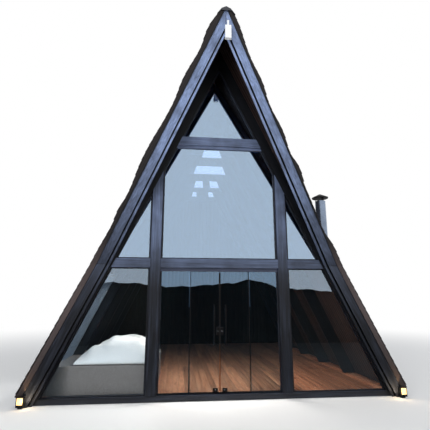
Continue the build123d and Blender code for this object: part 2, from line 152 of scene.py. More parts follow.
def mixColour(tree, share, first, second, blend="MIX"):
    settings = {"data_type": "RGBA", "blend_type": blend}
    return addNode(tree, "ShaderNodeMix", settings, {0: share, 6: first, 7: second}).outputs[2]


def boardTone(tree):
    # the number from 0 to 1 that the Geometry Nodes trees leave on each board or tab
    return addNode(tree, "ShaderNodeAttribute", {"attribute_name": "tone"}).outputs["Fac"]


def startMaterial(name, values):
    material = bpy.data.materials.new(name)
    material.use_nodes = True
    tree = material.node_tree
    shader = tree.nodes["Principled BSDF"]
    for socket, value in values.items():
        shader.inputs[socket].default_value = value
    place = addNode(tree, "ShaderNodeTexCoord").outputs["Object"]
    return material, tree, shader, place


def addBump(tree, shader, height, strength, distance):
    bump = addNode(tree, "ShaderNodeBump", {}, {"Height": height, "Strength": strength, "Distance": distance})
    tree.links.new(bump.outputs[0], shader.inputs["Normal"])


def mixSurfaces(tree, output, share, first, second):
    mixer = addNode(tree, "ShaderNodeMixShader", {}, {0: share, 1: first, 2: second})
    tree.links.new(mixer.outputs[0], tree.nodes[output].inputs["Surface"])


# Materials

noiseSpan = (0.3, 0.7)          # nearly all values of a noise texture lie between these
glossSpread = (-0.06, 0.1)      # how far a finish is glossier and duller than its roughness says
upright = (0, radians(90), 0)
level = (0, 0, 0)
frontToBack = (0, 0, radians(90))
slopeTurn = {-1: (0, slope, 0), 1: (0, -slope, 0)}


def unevenGloss(tree, shader, pattern, roughness):
    low, high = glossSpread
    gloss = remap(tree, pattern, *noiseSpan, roughness + low, roughness + high)
    tree.links.new(gloss, shader.inputs["Roughness"])


def alongBoard(tree, place, turn, jump):
    # the place turned along the board, moved on by the board's tone so that no two are alike
    shift = scaleVector(tree, jump, boardTone(tree))
    spot = addNode(tree, "ShaderNodeVectorMath", {"operation": "ADD"}, {0: place, 1: shift}).outputs[0]
    return mapPlace(tree, spot, Rotation=turn)


timber = {
    "grainWidth": 9 * mm,       # drawn a little coarse so that it shows
    "grainStretch": 0.035,
    "grainShade": (0.5, 1.34),
    "patchScale": 2.6,
    "patchShade": (0.5, 1.25),
    "knotPitch": 0.42,
    "knotStretch": 0.42,
    "knotSize": (0.025, 0.08),
    "dark": "#0c0e13",
    "middle": "#191c26",
    "light": "#2a303e",
    # painted sky reflection, mixed in towards the top
    "skySheenColour": "#8799c0",
    "knot": "#0c0c11",
    "roughness": (0.42, 0.62),
    "bumpStrength": 0.35,
    "bumpDepth": 1.2 * mm,
    "boardJump": (7.3, 5.1, 3.7),
}


def stainedTimber(name, turn, skySheen, lift=1.0, rising=(1.2, 6.0)):
    # Planed pine under a black-blue penetrating stain: satin, with raised grain and dark knots,
    # with a painted slate-blue sky reflection that lightens it more and more between the two heights in
    # rising
    material, tree, shader, place = startMaterial(name, {"IOR": 1.5, "Specular IOR Level": 0.5})
    along = alongBoard(tree, place, turn, timber["boardJump"])
    drawn = mapPlace(tree, along, Scale=(timber["grainStretch"], 1, 1))
    grain = cloudNoise(tree, drawn, 1 / timber["grainWidth"] / 3, Detail=6, Roughness=0.68, Distortion=0.5)
    patches = cloudNoise(tree, along, timber["patchScale"], Detail=3)
    knots = addNode(tree, "ShaderNodeTexVoronoi", {}, {
        "Vector": mapPlace(tree, along, Scale=(timber["knotStretch"], 1, 1)),
        "Scale": 1 / timber["knotPitch"], "Randomness": 0.9,
    }).outputs["Distance"]
    knotMask = remap(tree, knots, *timber["knotSize"], 1.0, 0.0)
    stain = colourRamp(tree, grain, (0.30, timber["dark"]), (0.72, timber["light"]), (0.52, timber["middle"]))
    # painted sky reflection: the stain turns lighter and bluer towards the top
    upper = remap(tree, partsOf(tree, place)["Z"], *rising, 0.0, skySheen, "SMOOTHSTEP")
    uneven = remap(tree, patches, *noiseSpan, *timber["patchShade"])
    fade = compute(tree, "MULTIPLY", upper, uneven, clamp=True)
    withSkySheen = mixColour(tree, fade, stain, linear(timber["skySheenColour"]))
    shadeLow, shadeHigh = timber["grainShade"]
    # lift scales the grain's shade: below 1 it darkens a copy as painted shade, above 1 it lightens one as
    # painted light
    shade = remap(tree, grain, *noiseSpan, shadeLow * lift, shadeHigh * lift)
    worn = mixColour(tree, 1.0, withSkySheen, shade, "MULTIPLY")
    knotted = mixColour(tree, knotMask, worn, linear(timber["knot"]))
    tree.links.new(knotted, shader.inputs["Base Color"])
    sheen = remap(tree, grain, *noiseSpan, *timber["roughness"])
    tree.links.new(sheen, shader.inputs["Roughness"])
    hollow = compute(tree, "SUBTRACT", grain, knotMask)
    addBump(tree, shader, hollow, timber["bumpStrength"], timber["bumpDepth"])
    return material


# copies of one stain: the beads, the rafters and the barge boards' backs darkened as painted shade, the verge
# strips lightened as painted light
postPine = stainedTimber("blackStainedPinePosts", upright, 0.5, 1.0, (1.8, 3.4))
railPine = stainedTimber("blackStainedPineRails", level, 0.6, 1.0, (0.0, 4.6))
beadPine = stainedTimber("blackStainedPineBeads", upright, 0.1, 0.75)
slopePine = {}
bargePine = {}
vergePine = {}
for side in (-1, 1):
    turn = slopeTurn[side]
    slopePine[side] = stainedTimber(f"blackStainedPineSlope{side + 2}", turn, 0.0, 0.42)
    bargePine[side] = stainedTimber(f"skySheenPineBarge{side + 2}", turn, 1.0)
    vergePine[side] = stainedTimber(f"skySheenPineVerge{side + 2}", turn, 1.0, 1.35)


boardLine = {
    "jointWidth": 8 * mm,
    "grooveFromDeck": 158 * mm,
    "grooveWidth": 22 * mm,
    "colour": "#07070a",
}


def markBoards(material, side):
    # dark lines where boards butt at the knee and meet at the peak, and the shadow in the sunk line
    tree = material.node_tree
    shader = tree.nodes["Principled BSDF"]
    before = shader.inputs["Base Color"].links[0].from_socket
    place = addNode(tree, "ShaderNodeTexCoord").outputs["Object"]
    parts = partsOf(tree, place)
    across = partsOf(tree, mapPlace(tree, place, Rotation=slopeTurn[side]))["Z"]
    joint = boardLine["jointWidth"] / 2
    grooveAt, grooveHalf = deckFace - boardLine["grooveFromDeck"], boardLine["grooveWidth"] / 2
    knee = compute(tree, "COMPARE", parts["Z"], kneeZ, joint)
    peak = compute(tree, "COMPARE", parts["X"], 0.0, joint)
    groove = compute(tree, "COMPARE", across, grooveAt, grooveHalf)
    marked = compute(tree, "MAXIMUM", compute(tree, "MAXIMUM", knee, peak), groove)
    lined = mixColour(tree, marked, before, linear(boardLine["colour"]))
    tree.links.new(lined, shader.inputs["Base Color"])


for side in (-1, 1):
    markBoards(bargePine[side], side)
    markBoards(vergePine[side], side)


boardStain = {
    "grainWidth": 8 * mm,       # drawn a little coarse so that it shows
    "grainStretch": 0.05,
    "wall": ("#17130f", "#2a221c", "#3a3028"),
    "soffit": ("#1a1413", "#342724", "#52403a"),
    "floor": ("#9c5736", "#cd8056", "#e8ab82"),
    "bumpStrength": 0.25,
    "bumpDepth": 0.8 * mm,
    "boardJump": (11.3, 8.1, 5.7),
}


def boardTimber(name, turn, colours, roughness, spread):
    # Tongued boards, each with its own tone: the floor is oiled hardwood, the rest stained pine
    material, tree, shader, place = startMaterial(name, {"IOR": 1.48, "Specular IOR Level": 0.4})
    along = alongBoard(tree, place, turn, boardStain["boardJump"])
    drawn = mapPlace(tree, along, Scale=(boardStain["grainStretch"], 1, 1))
    grain = cloudNoise(tree, drawn, 1 / boardStain["grainWidth"] / 3, Detail=5, Roughness=0.6, Distortion=0.8)
    stain = colourRamp(tree, grain, (0.32, colours[0]), (0.72, colours[2]), (0.5, colours[1]))
    tone = remap(tree, boardTone(tree), 0.0, 1.0, 1 - spread, 1 + spread)
    tree.links.new(mixColour(tree, 1.0, stain, tone, "MULTIPLY"), shader.inputs["Base Color"])
    unevenGloss(tree, shader, grain, roughness)
    addBump(tree, shader, grain, boardStain["bumpStrength"], boardStain["bumpDepth"])
    return material


wallTimber = boardTimber("darkStainedWallBoards", upright, boardStain["wall"], 0.55, 0.3)
soffitTimber = {
    side: boardTimber(f"nearBlackSoffitBoards{side + 2}", slopeTurn[side], boardStain["soffit"], 0.6, 0.35)
    for side in (-1, 1)
}
floorTimber = boardTimber("oiledRedHardwoodFloor", frontToBack, boardStain["floor"], 0.32, 0.36)


shingle = {
    "exposure": 143 * mm,
    "tabWidth": 333 * mm,
    "slit": 5 * mm,
    "thickness": 7 * mm,
    "headLap": 22 * mm,
    "jitter": 4 * mm,           # how far a tab may lie out of step
    "curl": 5 * mm,
    "underCap": 20 * mm,        # how far below the ridge cap's edge the first course starts
    "lip": 110 * mm,            # where the last course ends above the covering's foot
    "pastBarge": 16 * mm,       # how far the tabs reach out over the barge boards' face
    "backGap": 2 * mm,
    "granule": 4 * mm,          # real granules are 1 mm; drawn coarser so that they show
    "colours": ("#1d1a1c", "#322c2e", "#4f4647"),
    "tabShade": (0.6, 1.35),
    "stainScale": 1.7,
    "stainShade": (0.8, 1.25),
    "bumpStrength": 0.5,
    "bumpDepth": 1 * mm,
    "seed": 11,
}


def mineralShingle():
    # Bitumen shingles with a mineral face: matt, speckled, each tab a slightly other tone
    material, tree, shader, place = startMaterial("mineralFacedShingle", {"Roughness": 0.86, "IOR": 1.5})
    granules = addNode(tree, "ShaderNodeTexVoronoi", {}, {
        "Vector": place, "Scale": 1 / shingle["granule"],
    }).outputs
    grit = addNode(tree, "ShaderNodeSeparateColor", {}, {0: granules["Color"]}).outputs[0]
    dark, middle, light = shingle["colours"]
    speckle = colourRamp(tree, grit, (0.1, dark), (0.95, light), (0.6, middle))
    stains = cloudNoise(tree, place, shingle["stainScale"], Detail=4)
    tone = remap(tree, boardTone(tree), 0.0, 1.0, *shingle["tabShade"])
    wash = remap(tree, stains, *noiseSpan, *shingle["stainShade"])
    toned = mixColour(tree, 1.0, speckle, compute(tree, "MULTIPLY", tone, wash), "MULTIPLY")
    tree.links.new(toned, shader.inputs["Base Color"])
    addBump(tree, shader, granules["Distance"], shingle["bumpStrength"], shingle["bumpDepth"])
    return material


shingleFelt = mineralShingle()


roofEdge = {
    "depth": 110 * mm,
    "fibreStretch": 0.08,
    "fibreScale": 60.0,
    "ragged": 0.16,             # how far the layers wander, as a share of the depth
    "layers": (                 # share of the depth from the deck outward, and colour
        (0.0, "#0a0a0d"), (1.0, "#1a1616"), (0.12, "#0c0c0f"), (0.2, "#1b1718"), (0.36, "#241e1f"),
        (0.43, "#0f0d0e"), (0.5, "#1f1a1b"), (0.66, "#2a2324"), (0.72, "#110f10"), (0.85, "#1e1a1a"),
    ),
    "brown": "#5c4f4e",
    "brownHeight": 4.0,
    "brownShare": (             # share of the brown height, and how far the painted ground light browns it, as a grey
        (0.0, "#5a5a5a"), (0.8, "#000000"), (0.38, "#e0e0e0"), (0.58, "#b0b0b0"), (0.7, "#303030"),
    ),
    "bumpStrength": 0.5,
    "bumpDepth": 2 * mm,
}


def layeredVerge(side):
    # The cut edge of the covering: felt, sheathing and battens as brown-black layers along the slope,
    # with a painted paler brown in the lower half where light from the ground falls on it
    name = f"layeredRoofEdge{side + 2}"
    material, tree, shader, place = startMaterial(name, {"Roughness": 0.7, "IOR": 1.5})
    lying = mapPlace(tree, place, Rotation=slopeTurn[side])
    depth = compute(tree, "SUBTRACT", partsOf(tree, lying)["Z"], deckFace)
    share = remap(tree, depth, 0.0, roofEdge["depth"], 0.0, 1.0)
    drawn = mapPlace(tree, lying, Scale=(roofEdge["fibreStretch"], 1, 1))
    fibres = cloudNoise(tree, drawn, roofEdge["fibreScale"], Detail=5)
    ragged = compute(tree, "MULTIPLY_ADD", fibres, roofEdge["ragged"], -roofEdge["ragged"] / 2)
    layers = colourRamp(tree, compute(tree, "ADD", share, ragged), *roofEdge["layers"])
    # painted light from the ground: a paler brown in the lower half
    lower = remap(tree, partsOf(tree, place)["Z"], 0.0, roofEdge["brownHeight"], 0.0, 1.0)
    groundLightAmount = colourRamp(tree, lower, *roofEdge["brownShare"])
    withGroundLight = mixColour(tree, groundLightAmount, layers, linear(roofEdge["brown"]))
    tree.links.new(withGroundLight, shader.inputs["Base Color"])
    addBump(tree, shader, fibres, roofEdge["bumpStrength"], roofEdge["bumpDepth"])
    return material


vergeLayers = {side: layeredVerge(side) for side in (-1, 1)}


metals = {
    # name: colour, metallic, roughness, width of the brushing or speckle
    "foldedRidgeSteel": ("#4a4b50", 0.9, 0.38, 14 * mm),
    "blackAnodisedTrack": ("#1b1d24", 0.7, 0.34, 5 * mm),
    "slateDoorHead": ("#4a5064", 0.35, 0.45, 5 * mm),
    "satinBlackPull": ("#101114", 0.4, 0.3, 4 * mm),
    "blackLockCase": ("#0e0f12", 0.3, 0.38, 4 * mm),
    "polishedLockCylinder": ("#c9ccd2", 1.0, 0.18, 3 * mm),
    "stainlessFlue": ("#8390a4", 0.9, 0.24, 9 * mm),
    "matteBlackCap": ("#0d0e11", 0.2, 0.6, 9 * mm),
    # a pale grey that makes the frame read as the daylight round the side window: painted light
    "daylightPaleWindowFrame": ("#8f959b", 0.35, 0.4, 8 * mm),
    "blackFlashing": ("#202126", 0.7, 0.45, 12 * mm),
}
sheetMottle = {"scale": 3.1, "shade": (0.8, 1.2), "bumpStrength": 0.12, "bumpDepth": 0.4 * mm}


def metalFinish(name):
    # Coated or bare sheet: faint mottling and small changes in gloss
    colour, metallic, roughness, width = metals[name]
    material, tree, shader, place = startMaterial(name, {"Metallic": metallic})
    speckle = cloudNoise(tree, place, 1 / width, Detail=4)
    mottle = remap(tree, cloudNoise(tree, place, sheetMottle["scale"]), *noiseSpan, *sheetMottle["shade"])
    tree.links.new(mixColour(tree, 1.0, linear(colour), mottle, "MULTIPLY"), shader.inputs["Base Color"])
    unevenGloss(tree, shader, speckle, roughness)
    addBump(tree, shader, speckle, sheetMottle["bumpStrength"], sheetMottle["bumpDepth"])
    return material


metal = {name: metalFinish(name) for name in metals}


glassValues = {
    # mirror is the share that the thin metal oxide film sends back
    "solarControlGlass": {"tint": "#c9dff5", "mirror": 0.48, "waviness": 0.01 * mm},
    "lowerPaneGlass": {"tint": "#cddff0", "mirror": 0.22, "waviness": 0.01 * mm},
    "temperedDoorGlass": {"tint": "#a9cbe8", "mirror": 0.19, "waviness": 0.01 * mm},
    "clearWindowGlass": {"tint": "#dfe9ec", "mirror": 0.05, "waviness": 0.03 * mm},
}
glassThrough = {"tint": "#e9eef2", "rollScale": 1.3, "bumpStrength": 0.2}


def paneGlass(name):
    # Float glass with a thin reflective film: it mirrors what is bright a little bluer than it is, and
    # what stands behind it shows where something dark is mirrored. Lamps reach the room through it
    values = glassValues[name]
    material, tree, shader, place = startMaterial(name, {
        "Transmission Weight": 1.0, "IOR": 1.5, "Roughness": 0.0, "Metallic": values["mirror"],
        "Base Color": linear(values["tint"]),
    })
    roll = cloudNoise(tree, place, glassThrough["rollScale"], Detail=1)
    addBump(tree, shader, roll, glassThrough["bumpStrength"], values["waviness"])
    path = addNode(tree, "ShaderNodeLightPath").outputs
    lit = compute(tree, "MAXIMUM", path["Is Shadow Ray"], path["Is Diffuse Ray"])
    clear = addNode(tree, "ShaderNodeBsdfTransparent", {}, {"Color": linear(glassThrough["tint"])})
    mixSurfaces(tree, "Material Output", lit, shader.outputs[0], clear.outputs[0])
    return material


glass = {name: paneGlass(name) for name in glassValues}


plains = {
    # name: two tones, roughness, pattern width, bump depth
    "blackRubberSeal": ("#050506", "#0b0b0d", 0.7, 3 * mm, 0.2 * mm),
    # pale frosted strip, which also stands in for a painted highlight along the glass edges
    "frostedEdgeHighlight": ("#7f868f", "#9aa1aa", 0.5, 3 * mm, 0.3 * mm),
    "whiteLampHousing": ("#f2f4f6", "#ffffff", 0.35, 6 * mm, 0.1 * mm),
    "greyStainedPlywood": ("#6f6258", "#8c7f75", 0.42, 11 * mm, 0.3 * mm),
    "whiteCottonCover": ("#f3e9dc", "#fff8ee", 0.85, 2.5 * mm, 0.3 * mm),
}


def plainFinish(name):
    # Moulded, painted or woven goods in one colour with a fine surface of their own
    first, second, roughness, width, depth = plains[name]
    material, tree, shader, place = startMaterial(name, {"Roughness": roughness, "IOR": 1.48})
    fine = cloudNoise(tree, place, 1 / width, Detail=4)
    tree.links.new(colourRamp(tree, fine, (0.35, first), (0.65, second)), shader.inputs["Base Color"])
    addBump(tree, shader, fine, 0.3, depth)
    return material


plain = {name: plainFinish(name) for name in plains}


lenses = {
    # name: two tones, emission strength
    "warmLitLens": ("#ffc070", "#ffe0a8", 1.5),
    # painted light: the tie panels glow to stand in for bright bands high in the middle pane
    "bandGlowPanel": ("#c3cfdf", "#f4f8fd", 1.7),
}


def litLens(name):
    # Opal plastic lit from inside, a little cloudy
    first, second, strength = lenses[name]
    material, tree, shader, place = startMaterial(name, {"Roughness": 0.4, "Emission Strength": strength})
    glow = colourRamp(tree, cloudNoise(tree, place, 14.0), (0.2, first), (0.8, second))
    tree.links.new(glow, shader.inputs["Emission Color"])
    tree.links.new(glow, shader.inputs["Base Color"])
    return material


lens = {name: litLens(name) for name in lenses}
print("materials made")


def wear(material, *names):
    for name in names:
        nodes[name].data.materials.clear()
        nodes[name].data.materials.append(material)


for side, word in bothSides:
    wear(bargePine[side], f"barge_board_front_{word}")
    wear(vergePine[side], f"verge_strip_{word}")
    wear(slopePine[side], f"barge_board_back_{word}", f"gable_rafter_front_{word}", f"inner_rafters_{word}")
    wear(soffitTimber[side], f"roof_deck_{word}")
    wear(vergeLayers[side], f"roof_covering_{word}")
    wear(postPine, f"front_post_{word}")
    wear(glass["lowerPaneGlass"], f"front_glass_lower_{word}")
    wear(glass["temperedDoorGlass"], f"door_leaf_fixed_{word}", f"door_leaf_sliding_{word}")
    wear(metal["satinBlackPull"], f"door_pull_{word}")
    wear(metal["blackLockCase"], f"door_lock_{word}", f"foot_lamp_{word}")
wear(railPine, "front_sill", "front_mid_rail", "front_collar_beam", "inner_collar_ties")
wear(metal["foldedRidgeSteel"], "ridge_cap")
wear(metal["slateDoorHead"], "door_track_top")
wear(metal["blackAnodisedTrack"], "door_track_bottom")
wear(glass["solarControlGlass"], "front_glass_top", "front_glass_upper")
wear(glass["clearWindowGlass"], "side_window_glass")
wear(metal["daylightPaleWindowFrame"], "side_window_frame")
wear(metal["blackFlashing"], "flue_flashing")
wear(metal["stainlessFlue"], "flue_pipe")
wear(metal["matteBlackCap"], "flue_cap")
wear(plain["whiteLampHousing"], "apex_lamp")
wear(plain["greyStainedPlywood"], "bed_base")
wear(wallTimber, "back_wall")
wear(floorTimber, "floor")


# Geometry Nodes: boards and shingles

def startTree(name, inputs):
    tree = bpy.data.node_groups.new(name, "GeometryNodeTree")
    tree.interface.new_socket(name="Geometry", in_out="INPUT", socket_type="NodeSocketGeometry")
    kinds = {int: "NodeSocketInt", float: "NodeSocketFloat", tuple: "NodeSocketVector"}
    for label, value in inputs.items():
        socket = tree.interface.new_socket(name=label, in_out="INPUT", socket_type=kinds[type(value)])
        socket.default_value = value
    tree.interface.new_socket(name="Geometry", in_out="OUTPUT", socket_type="NodeSocketGeometry")
    return tree, tree.nodes.new("NodeGroupInput").outputs


def realize(tree, instances):
    return addNode(tree, "GeometryNodeRealizeInstances", {}, {0: instances}).outputs[0]


def endTree(tree, geometry, material):
    painted = addNode(tree, "GeometryNodeSetMaterial", {}, {0: realize(tree, geometry), "Material": material})
    addNode(tree, "NodeGroupOutput", {}, {0: painted.outputs[0]})
    return tree


def storeOn(tree, points, label, value, kind="FLOAT"):
    settings = {"data_type": kind, "domain": "POINT"}
    inputs = {"Geometry": points, "Name": label, "Value": value}
    return addNode(tree, "GeometryNodeStoreNamedAttribute", settings, inputs).outputs[0]


def readFrom(tree, label, kind="FLOAT"):
    return addNode(tree, "GeometryNodeInputNamedAttribute", {"data_type": kind}, {"Name": label}).outputs[0]


def storeTone(tree, points, seed):
    # a number from 0 to 1 for each board or tab, which its material reads
    tone = addNode(tree, "FunctionNodeRandomValue", {}, {"Seed": seed}).outputs[1]
    return storeOn(tree, points, "tone", tone)


def pointParts(tree):
    # the x, y and z of each point
    return partsOf(tree, addNode(tree, "GeometryNodeInputPosition").outputs[0])


def movePoints(tree, geometry, **inputs):
    return addNode(tree, "GeometryNodeSetPosition", {}, {"Geometry": geometry, **inputs}).outputs[0]


def putOnPoints(tree, points, instance, **inputs):
    inputs = {"Points": points, "Instance": instance, **inputs}
    return realize(tree, addNode(tree, "GeometryNodeInstanceOnPoints", {}, inputs).outputs[0])


def guideMesh(name, points, edges=(), **attributes):
    mesh = bpy.data.meshes.new(name)
    mesh.from_pydata([tuple(point) for point in points], list(edges), [])
    for label, values in attributes.items():
        kind = "FLOAT_VECTOR" if hasattr(values[0], "__len__") else "FLOAT"
        attribute = mesh.attributes.new(label, kind, "POINT")
        for number, value in enumerate(values):
            if kind == "FLOAT_VECTOR":
                attribute.data[number].vector = value
            else:
                attribute.data[number].value = value
    return mesh


def addObject(name, data):
    obj = bpy.data.objects.new(name, data)
    bpy.context.scene.collection.objects.link(obj)
    return obj


def bake(obj):
    # the modifiers' result as a plain mesh
    mesh = bpy.data.meshes.new_from_object(obj.evaluated_get(bpy.context.evaluated_depsgraph_get()))
    obj.modifiers.clear()
    obj.data = mesh
    mesh.name = obj.name
    return mesh


def fasten(obj, body):
    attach(obj, body)
    return obj


def runTree(name, tree, guide, inputs, body):
    obj = addObject(name, guide)
    modifier = obj.modifiers.new("build", "NODES")
    modifier.node_group = tree
    for item in tree.interface.items_tree:
        if item.in_out == "INPUT" and item.name in inputs:
            modifier[item.identifier] = inputs[item.name]
    bake(obj)
    return fasten(obj, body)


def drawBackToPlane(tree, given, boards):
    # points in front of the leaning plane go back up the slope to it
    parts = pointParts(tree)
    ahead = compute(tree, "SUBTRACT", given["Front At Floor"], parts["Y"])
    lowest = compute(tree, "ADD", compute(tree, "DIVIDE", ahead, given["Front Lean"]), given["Knee"])
    short = compute(tree, "MAXIMUM", compute(tree, "SUBTRACT", lowest, parts["Z"]), 0.0)
    back = compute(tree, "MULTIPLY", short, compute(tree, "GREATER_THAN", ahead, 0.0))
    return movePoints(tree, boards, Offset=scaleVector(tree, given["Up Slope"], back))


def keepUnderRoof(tree, given, boards):
    # points past the side limits or above the roof line come in to them
    parts = pointParts(tree)
    least = compute(tree, "MULTIPLY", given["Side Limit"], -1.0)
    x = compute(tree, "MINIMUM", compute(tree, "MAXIMUM", parts["X"], least), given["Side Limit"])
    fall = compute(tree, "MULTIPLY", compute(tree, "ABSOLUTE", x), given["Roof Tangent"])
    z = compute(tree, "MINIMUM", parts["Z"], compute(tree, "SUBTRACT", given["Roof Apex"], fall))
    return movePoints(tree, boards, Position=vectorOf(tree, X=x, Y=parts["Y"], Z=z))


def boardTree(material):
    # one eased board on each guide point, as long as its "length" and turned by its "turn"
    tree, given = startTree(f"boards_{material.name}", {
        "Board Width": 0.1, "Board Thickness": 0.01, "Arris": 0.002, "Seed": 1,
        "Front At Floor": -100.0, "Front Lean": 0.1, "Knee": 2.0, "Up Slope": (0.0, 0.0, 1.0),
        "Side Limit": 100.0, "Roof Apex": 100.0, "Roof Tangent": 1.0,
    })
    outline = addNode(tree, "GeometryNodeCurvePrimitiveQuadrilateral", {"mode": "RECTANGLE"}, {
        "Width": given["Board Width"], "Height": given["Board Thickness"],
    })
    eased = addNode(tree, "GeometryNodeFilletCurve", {"mode": "POLY"}, {
        "Curve": outline.outputs[0], "Radius": given["Arris"], "Count": 1,
    })
    line = addNode(tree, "GeometryNodeCurvePrimitiveLine", {}, {"Start": (-0.5, 0, 0), "End": (0.5, 0, 0)})
    board = addNode(tree, "GeometryNodeCurveToMesh", {}, {
        "Curve": line.outputs[0], "Profile Curve": eased.outputs[0], "Fill Caps": True,
    })
    toned = storeTone(tree, given["Geometry"], given["Seed"])
    turn = readFrom(tree, "turn", "FLOAT_VECTOR")
    size = vectorOf(tree, X=readFrom(tree, "length"), Y=1.0, Z=1.0)
    boards = putOnPoints(tree, toned, board.outputs[0], Rotation=turn, Scale=size)
    return endTree(tree, keepUnderRoof(tree, given, drawBackToPlane(tree, given, boards)), material)


def layBoards(name, material, runs, values, seed, body, slotName, **limits):
    # boards of one section; a run is the middle, length and turn of one
    middles, lengths, turns = zip(*runs)
    guide = guideMesh(f"{name}_guide", middles, length=lengths, turn=turns)
    return runTree(name, boardTree(material), guide, {
        "Board Width": values["width"], "Board Thickness": values["thickness"], "Arris": values["arris"],
        "Seed": seed, **limits,
    }, body)


lining = {
    "width": 98 * mm,
    "gap": 3 * mm,
    "thickness": 9 * mm,
    "proud": 3.5 * mm,
    "arris": 3 * mm,
    "behindBarge": 40 * mm,     # where the first board starts behind the barge boards at the peak
    "backGap": 4 * mm,
    "foot": 45 * mm,            # height of the boards' lower ends over the ground
    "peakGap": 12 * mm,
    "windowLap": 40 * mm,
    "planeGap": 1 * mm,         # between the boards' ends and the back of the barge boards
    "seed": 21,
}


def liningBoards(side, word):
    # boards that run down the slope under the deck, inside and under the prow
    pitch = lining["width"] + lining["gap"]
    rise = -deckThickness - lining["proud"] + lining["thickness"] / 2
    start = bargeLow.y + bargeThickness + lining["behindBarge"]
    end = deckHigh.y - lining["backGap"]
    top = ridgeZ + rise / cos(slope) - lining["peakGap"]
    foot, lap = lining["foot"], lining["windowLap"]
    runs = []
    for number in range(int((end - start) / pitch)):
        y = start + pitch * (number + 0.5)
        spans = [(foot, top)]
        if side < 0 and windowLow.y - pitch / 2 < y < windowHigh.y + pitch / 2:
            spans = [(foot, windowLow.z + lap), (windowHigh.z - lap, top)]
        for low, high in spans:
            first = roofPoint(side, downAt(high), rise)
            last = roofPoint(side, downAt(low), rise)
            middle = (first + last) / 2
            runs.append(((middle.x, y, middle.z), (last - first).length, (0, side * slope, 0)))
    limits = {
        "Front At Floor": bargeFootY + bargeThickness + lining["planeGap"], "Front Lean": lean, "Knee": kneeZ,
        "Up Slope": (-side / tan(slope), 0.0, 1.0),
    }
    layBoards(f"soffit_boards_{word}", soffitTimber[side], runs, lining, lining["seed"] + side,
              "house", "soffit_boards", **limits)


for side, word in bothSides:
    liningBoards(side, word)
print("soffit lined")


wallBoard = {
    "width": 138 * mm,
    "gap": 4 * mm,
    "thickness": 12 * mm,
    "proud": 4 * mm,
    "arris": 3.5 * mm,
    "sideGap": 25 * mm,
    "endGap": 2 * mm,
    "peakGap": 10 * mm,
    "shortest": 60 * mm,
    "seed": 31,
}


def wallBoards(name, y, seed):
    # upright boards on one face of the back wall, their tops cut to the roof
    pitch = wallBoard["width"] + wallBoard["gap"]
    edge, endGap = wallHigh.x - wallBoard["sideGap"], wallBoard["endGap"]
    half = int(edge / pitch) + 1
    runs = []
    for number in range(-half, half):
        x = pitch * (number + 0.5)
        top = wallHigh.z - max(abs(x) - pitch / 2, 0) * tan(slope)
        if top >= wallBoard["shortest"]:
            runs.append(((x, y, top / 2 + endGap), top - 2 * endGap, (pi / 2, -pi / 2, 0)))
    layBoards(name, wallTimber, runs, wallBoard, seed, "house", "wall_boards", **{
        "Side Limit": edge, "Roof Apex": wallHigh.z - wallBoard["peakGap"], "Roof Tangent": tan(slope),
    })


sunk = wallBoard["thickness"] / 2 - wallBoard["proud"]
wallBoards("back_wall_boards_inside", wallLow.y + sunk, wallBoard["seed"])
wallBoards("back_wall_boards_outside", wallHigh.y - sunk, wallBoard["seed"] + 1)
print("back wall boarded")


plank = {
    "width": 117 * mm,
    "gap": 3 * mm,
    "thickness": 10 * mm,
    "proud": 3 * mm,
    "arris": 2 * mm,
    "length": (1.6, 3.2),
    "sideGap": 50 * mm,
    "narrowest": 10 * mm,
    "frontGap": 1 * mm,
    "backGap": 20 * mm,
    "bedLap": 15 * mm,          # how far behind the bed's front the planks under it start
    "seed": 41,
}
edgeBoard = {
    "lap": 4 * mm,
    "meetsLining": 14 * mm,     # height over the floor at which its outer edge reaches the lining
    "rise": 8 * mm,
    "endGap": 12 * mm,
    "thickness": plank["thickness"],
    "arris": plank["arris"],
    "seed": 42,
}


def floorPlanks():
    pitch = plank["width"] + plank["gap"]
    edge = floorHigh.x - plank["sideGap"]
    end = floorHigh.y - plank["backGap"]
    z = floorHigh.z + plank["proud"] - plank["thickness"] / 2
    lengthways = (0, 0, pi / 2)
    half = int(edge / pitch) + 1
    dice = Random(plank["seed"])
    runs = []
    for number in range(-half, half):
        x = pitch * (number + 0.5)
        if abs(x) - pitch / 2 > edge - plank["narrowest"]:
            continue
        underBed = x + pitch / 2 < bedHigh.x
        y = bedLow.y + plank["bedLap"] if underBed else floorLow.y + plank["frontGap"]
        while y < end:
            length = min(dice.uniform(*plank["length"]), end - y)
            runs.append(((x, y + length / 2, z), length - plank["gap"], lengthways))
            y += length
    limits = {"Side Limit": edge}
    layBoards("floor_planks", floorTimber, runs, plank, plank["seed"], "house", "floor_boards", **limits)
    # a wide board on each side closes the floor against the lining
    inner = edge - edgeBoard["lap"]
    outer = underRoof(floorHigh.z + edgeBoard["meetsLining"], deckThickness + lining["thickness"])
    middle = ((inner + outer) / 2, (floorLow.y + floorHigh.y) / 2, floorHigh.z + edgeBoard["rise"])
    run = floorHigh.y - floorLow.y - 2 * edgeBoard["endGap"]
    runs = [((side * middle[0], *middle[1:]), run, lengthways) for side in (-1, 1)]
    values = {**edgeBoard, "width": outer - inner}
    layBoards("floor_edge_boards", floorTimber, runs, values, edgeBoard["seed"], "house", "floor_boards")


floorPlanks()
print("floor laid")


def frontPlane(tree, given, height):
    # the y of the prow's edge at a height: upright up to the knee, leaning out above it
    above = compute(tree, "MAXIMUM", compute(tree, "SUBTRACT", height, given["Knee"]), 0.0)
    leaning = compute(tree, "MULTIPLY", above, given["Front Lean"])
    return compute(tree, "SUBTRACT", given["Front At Floor"], leaning)


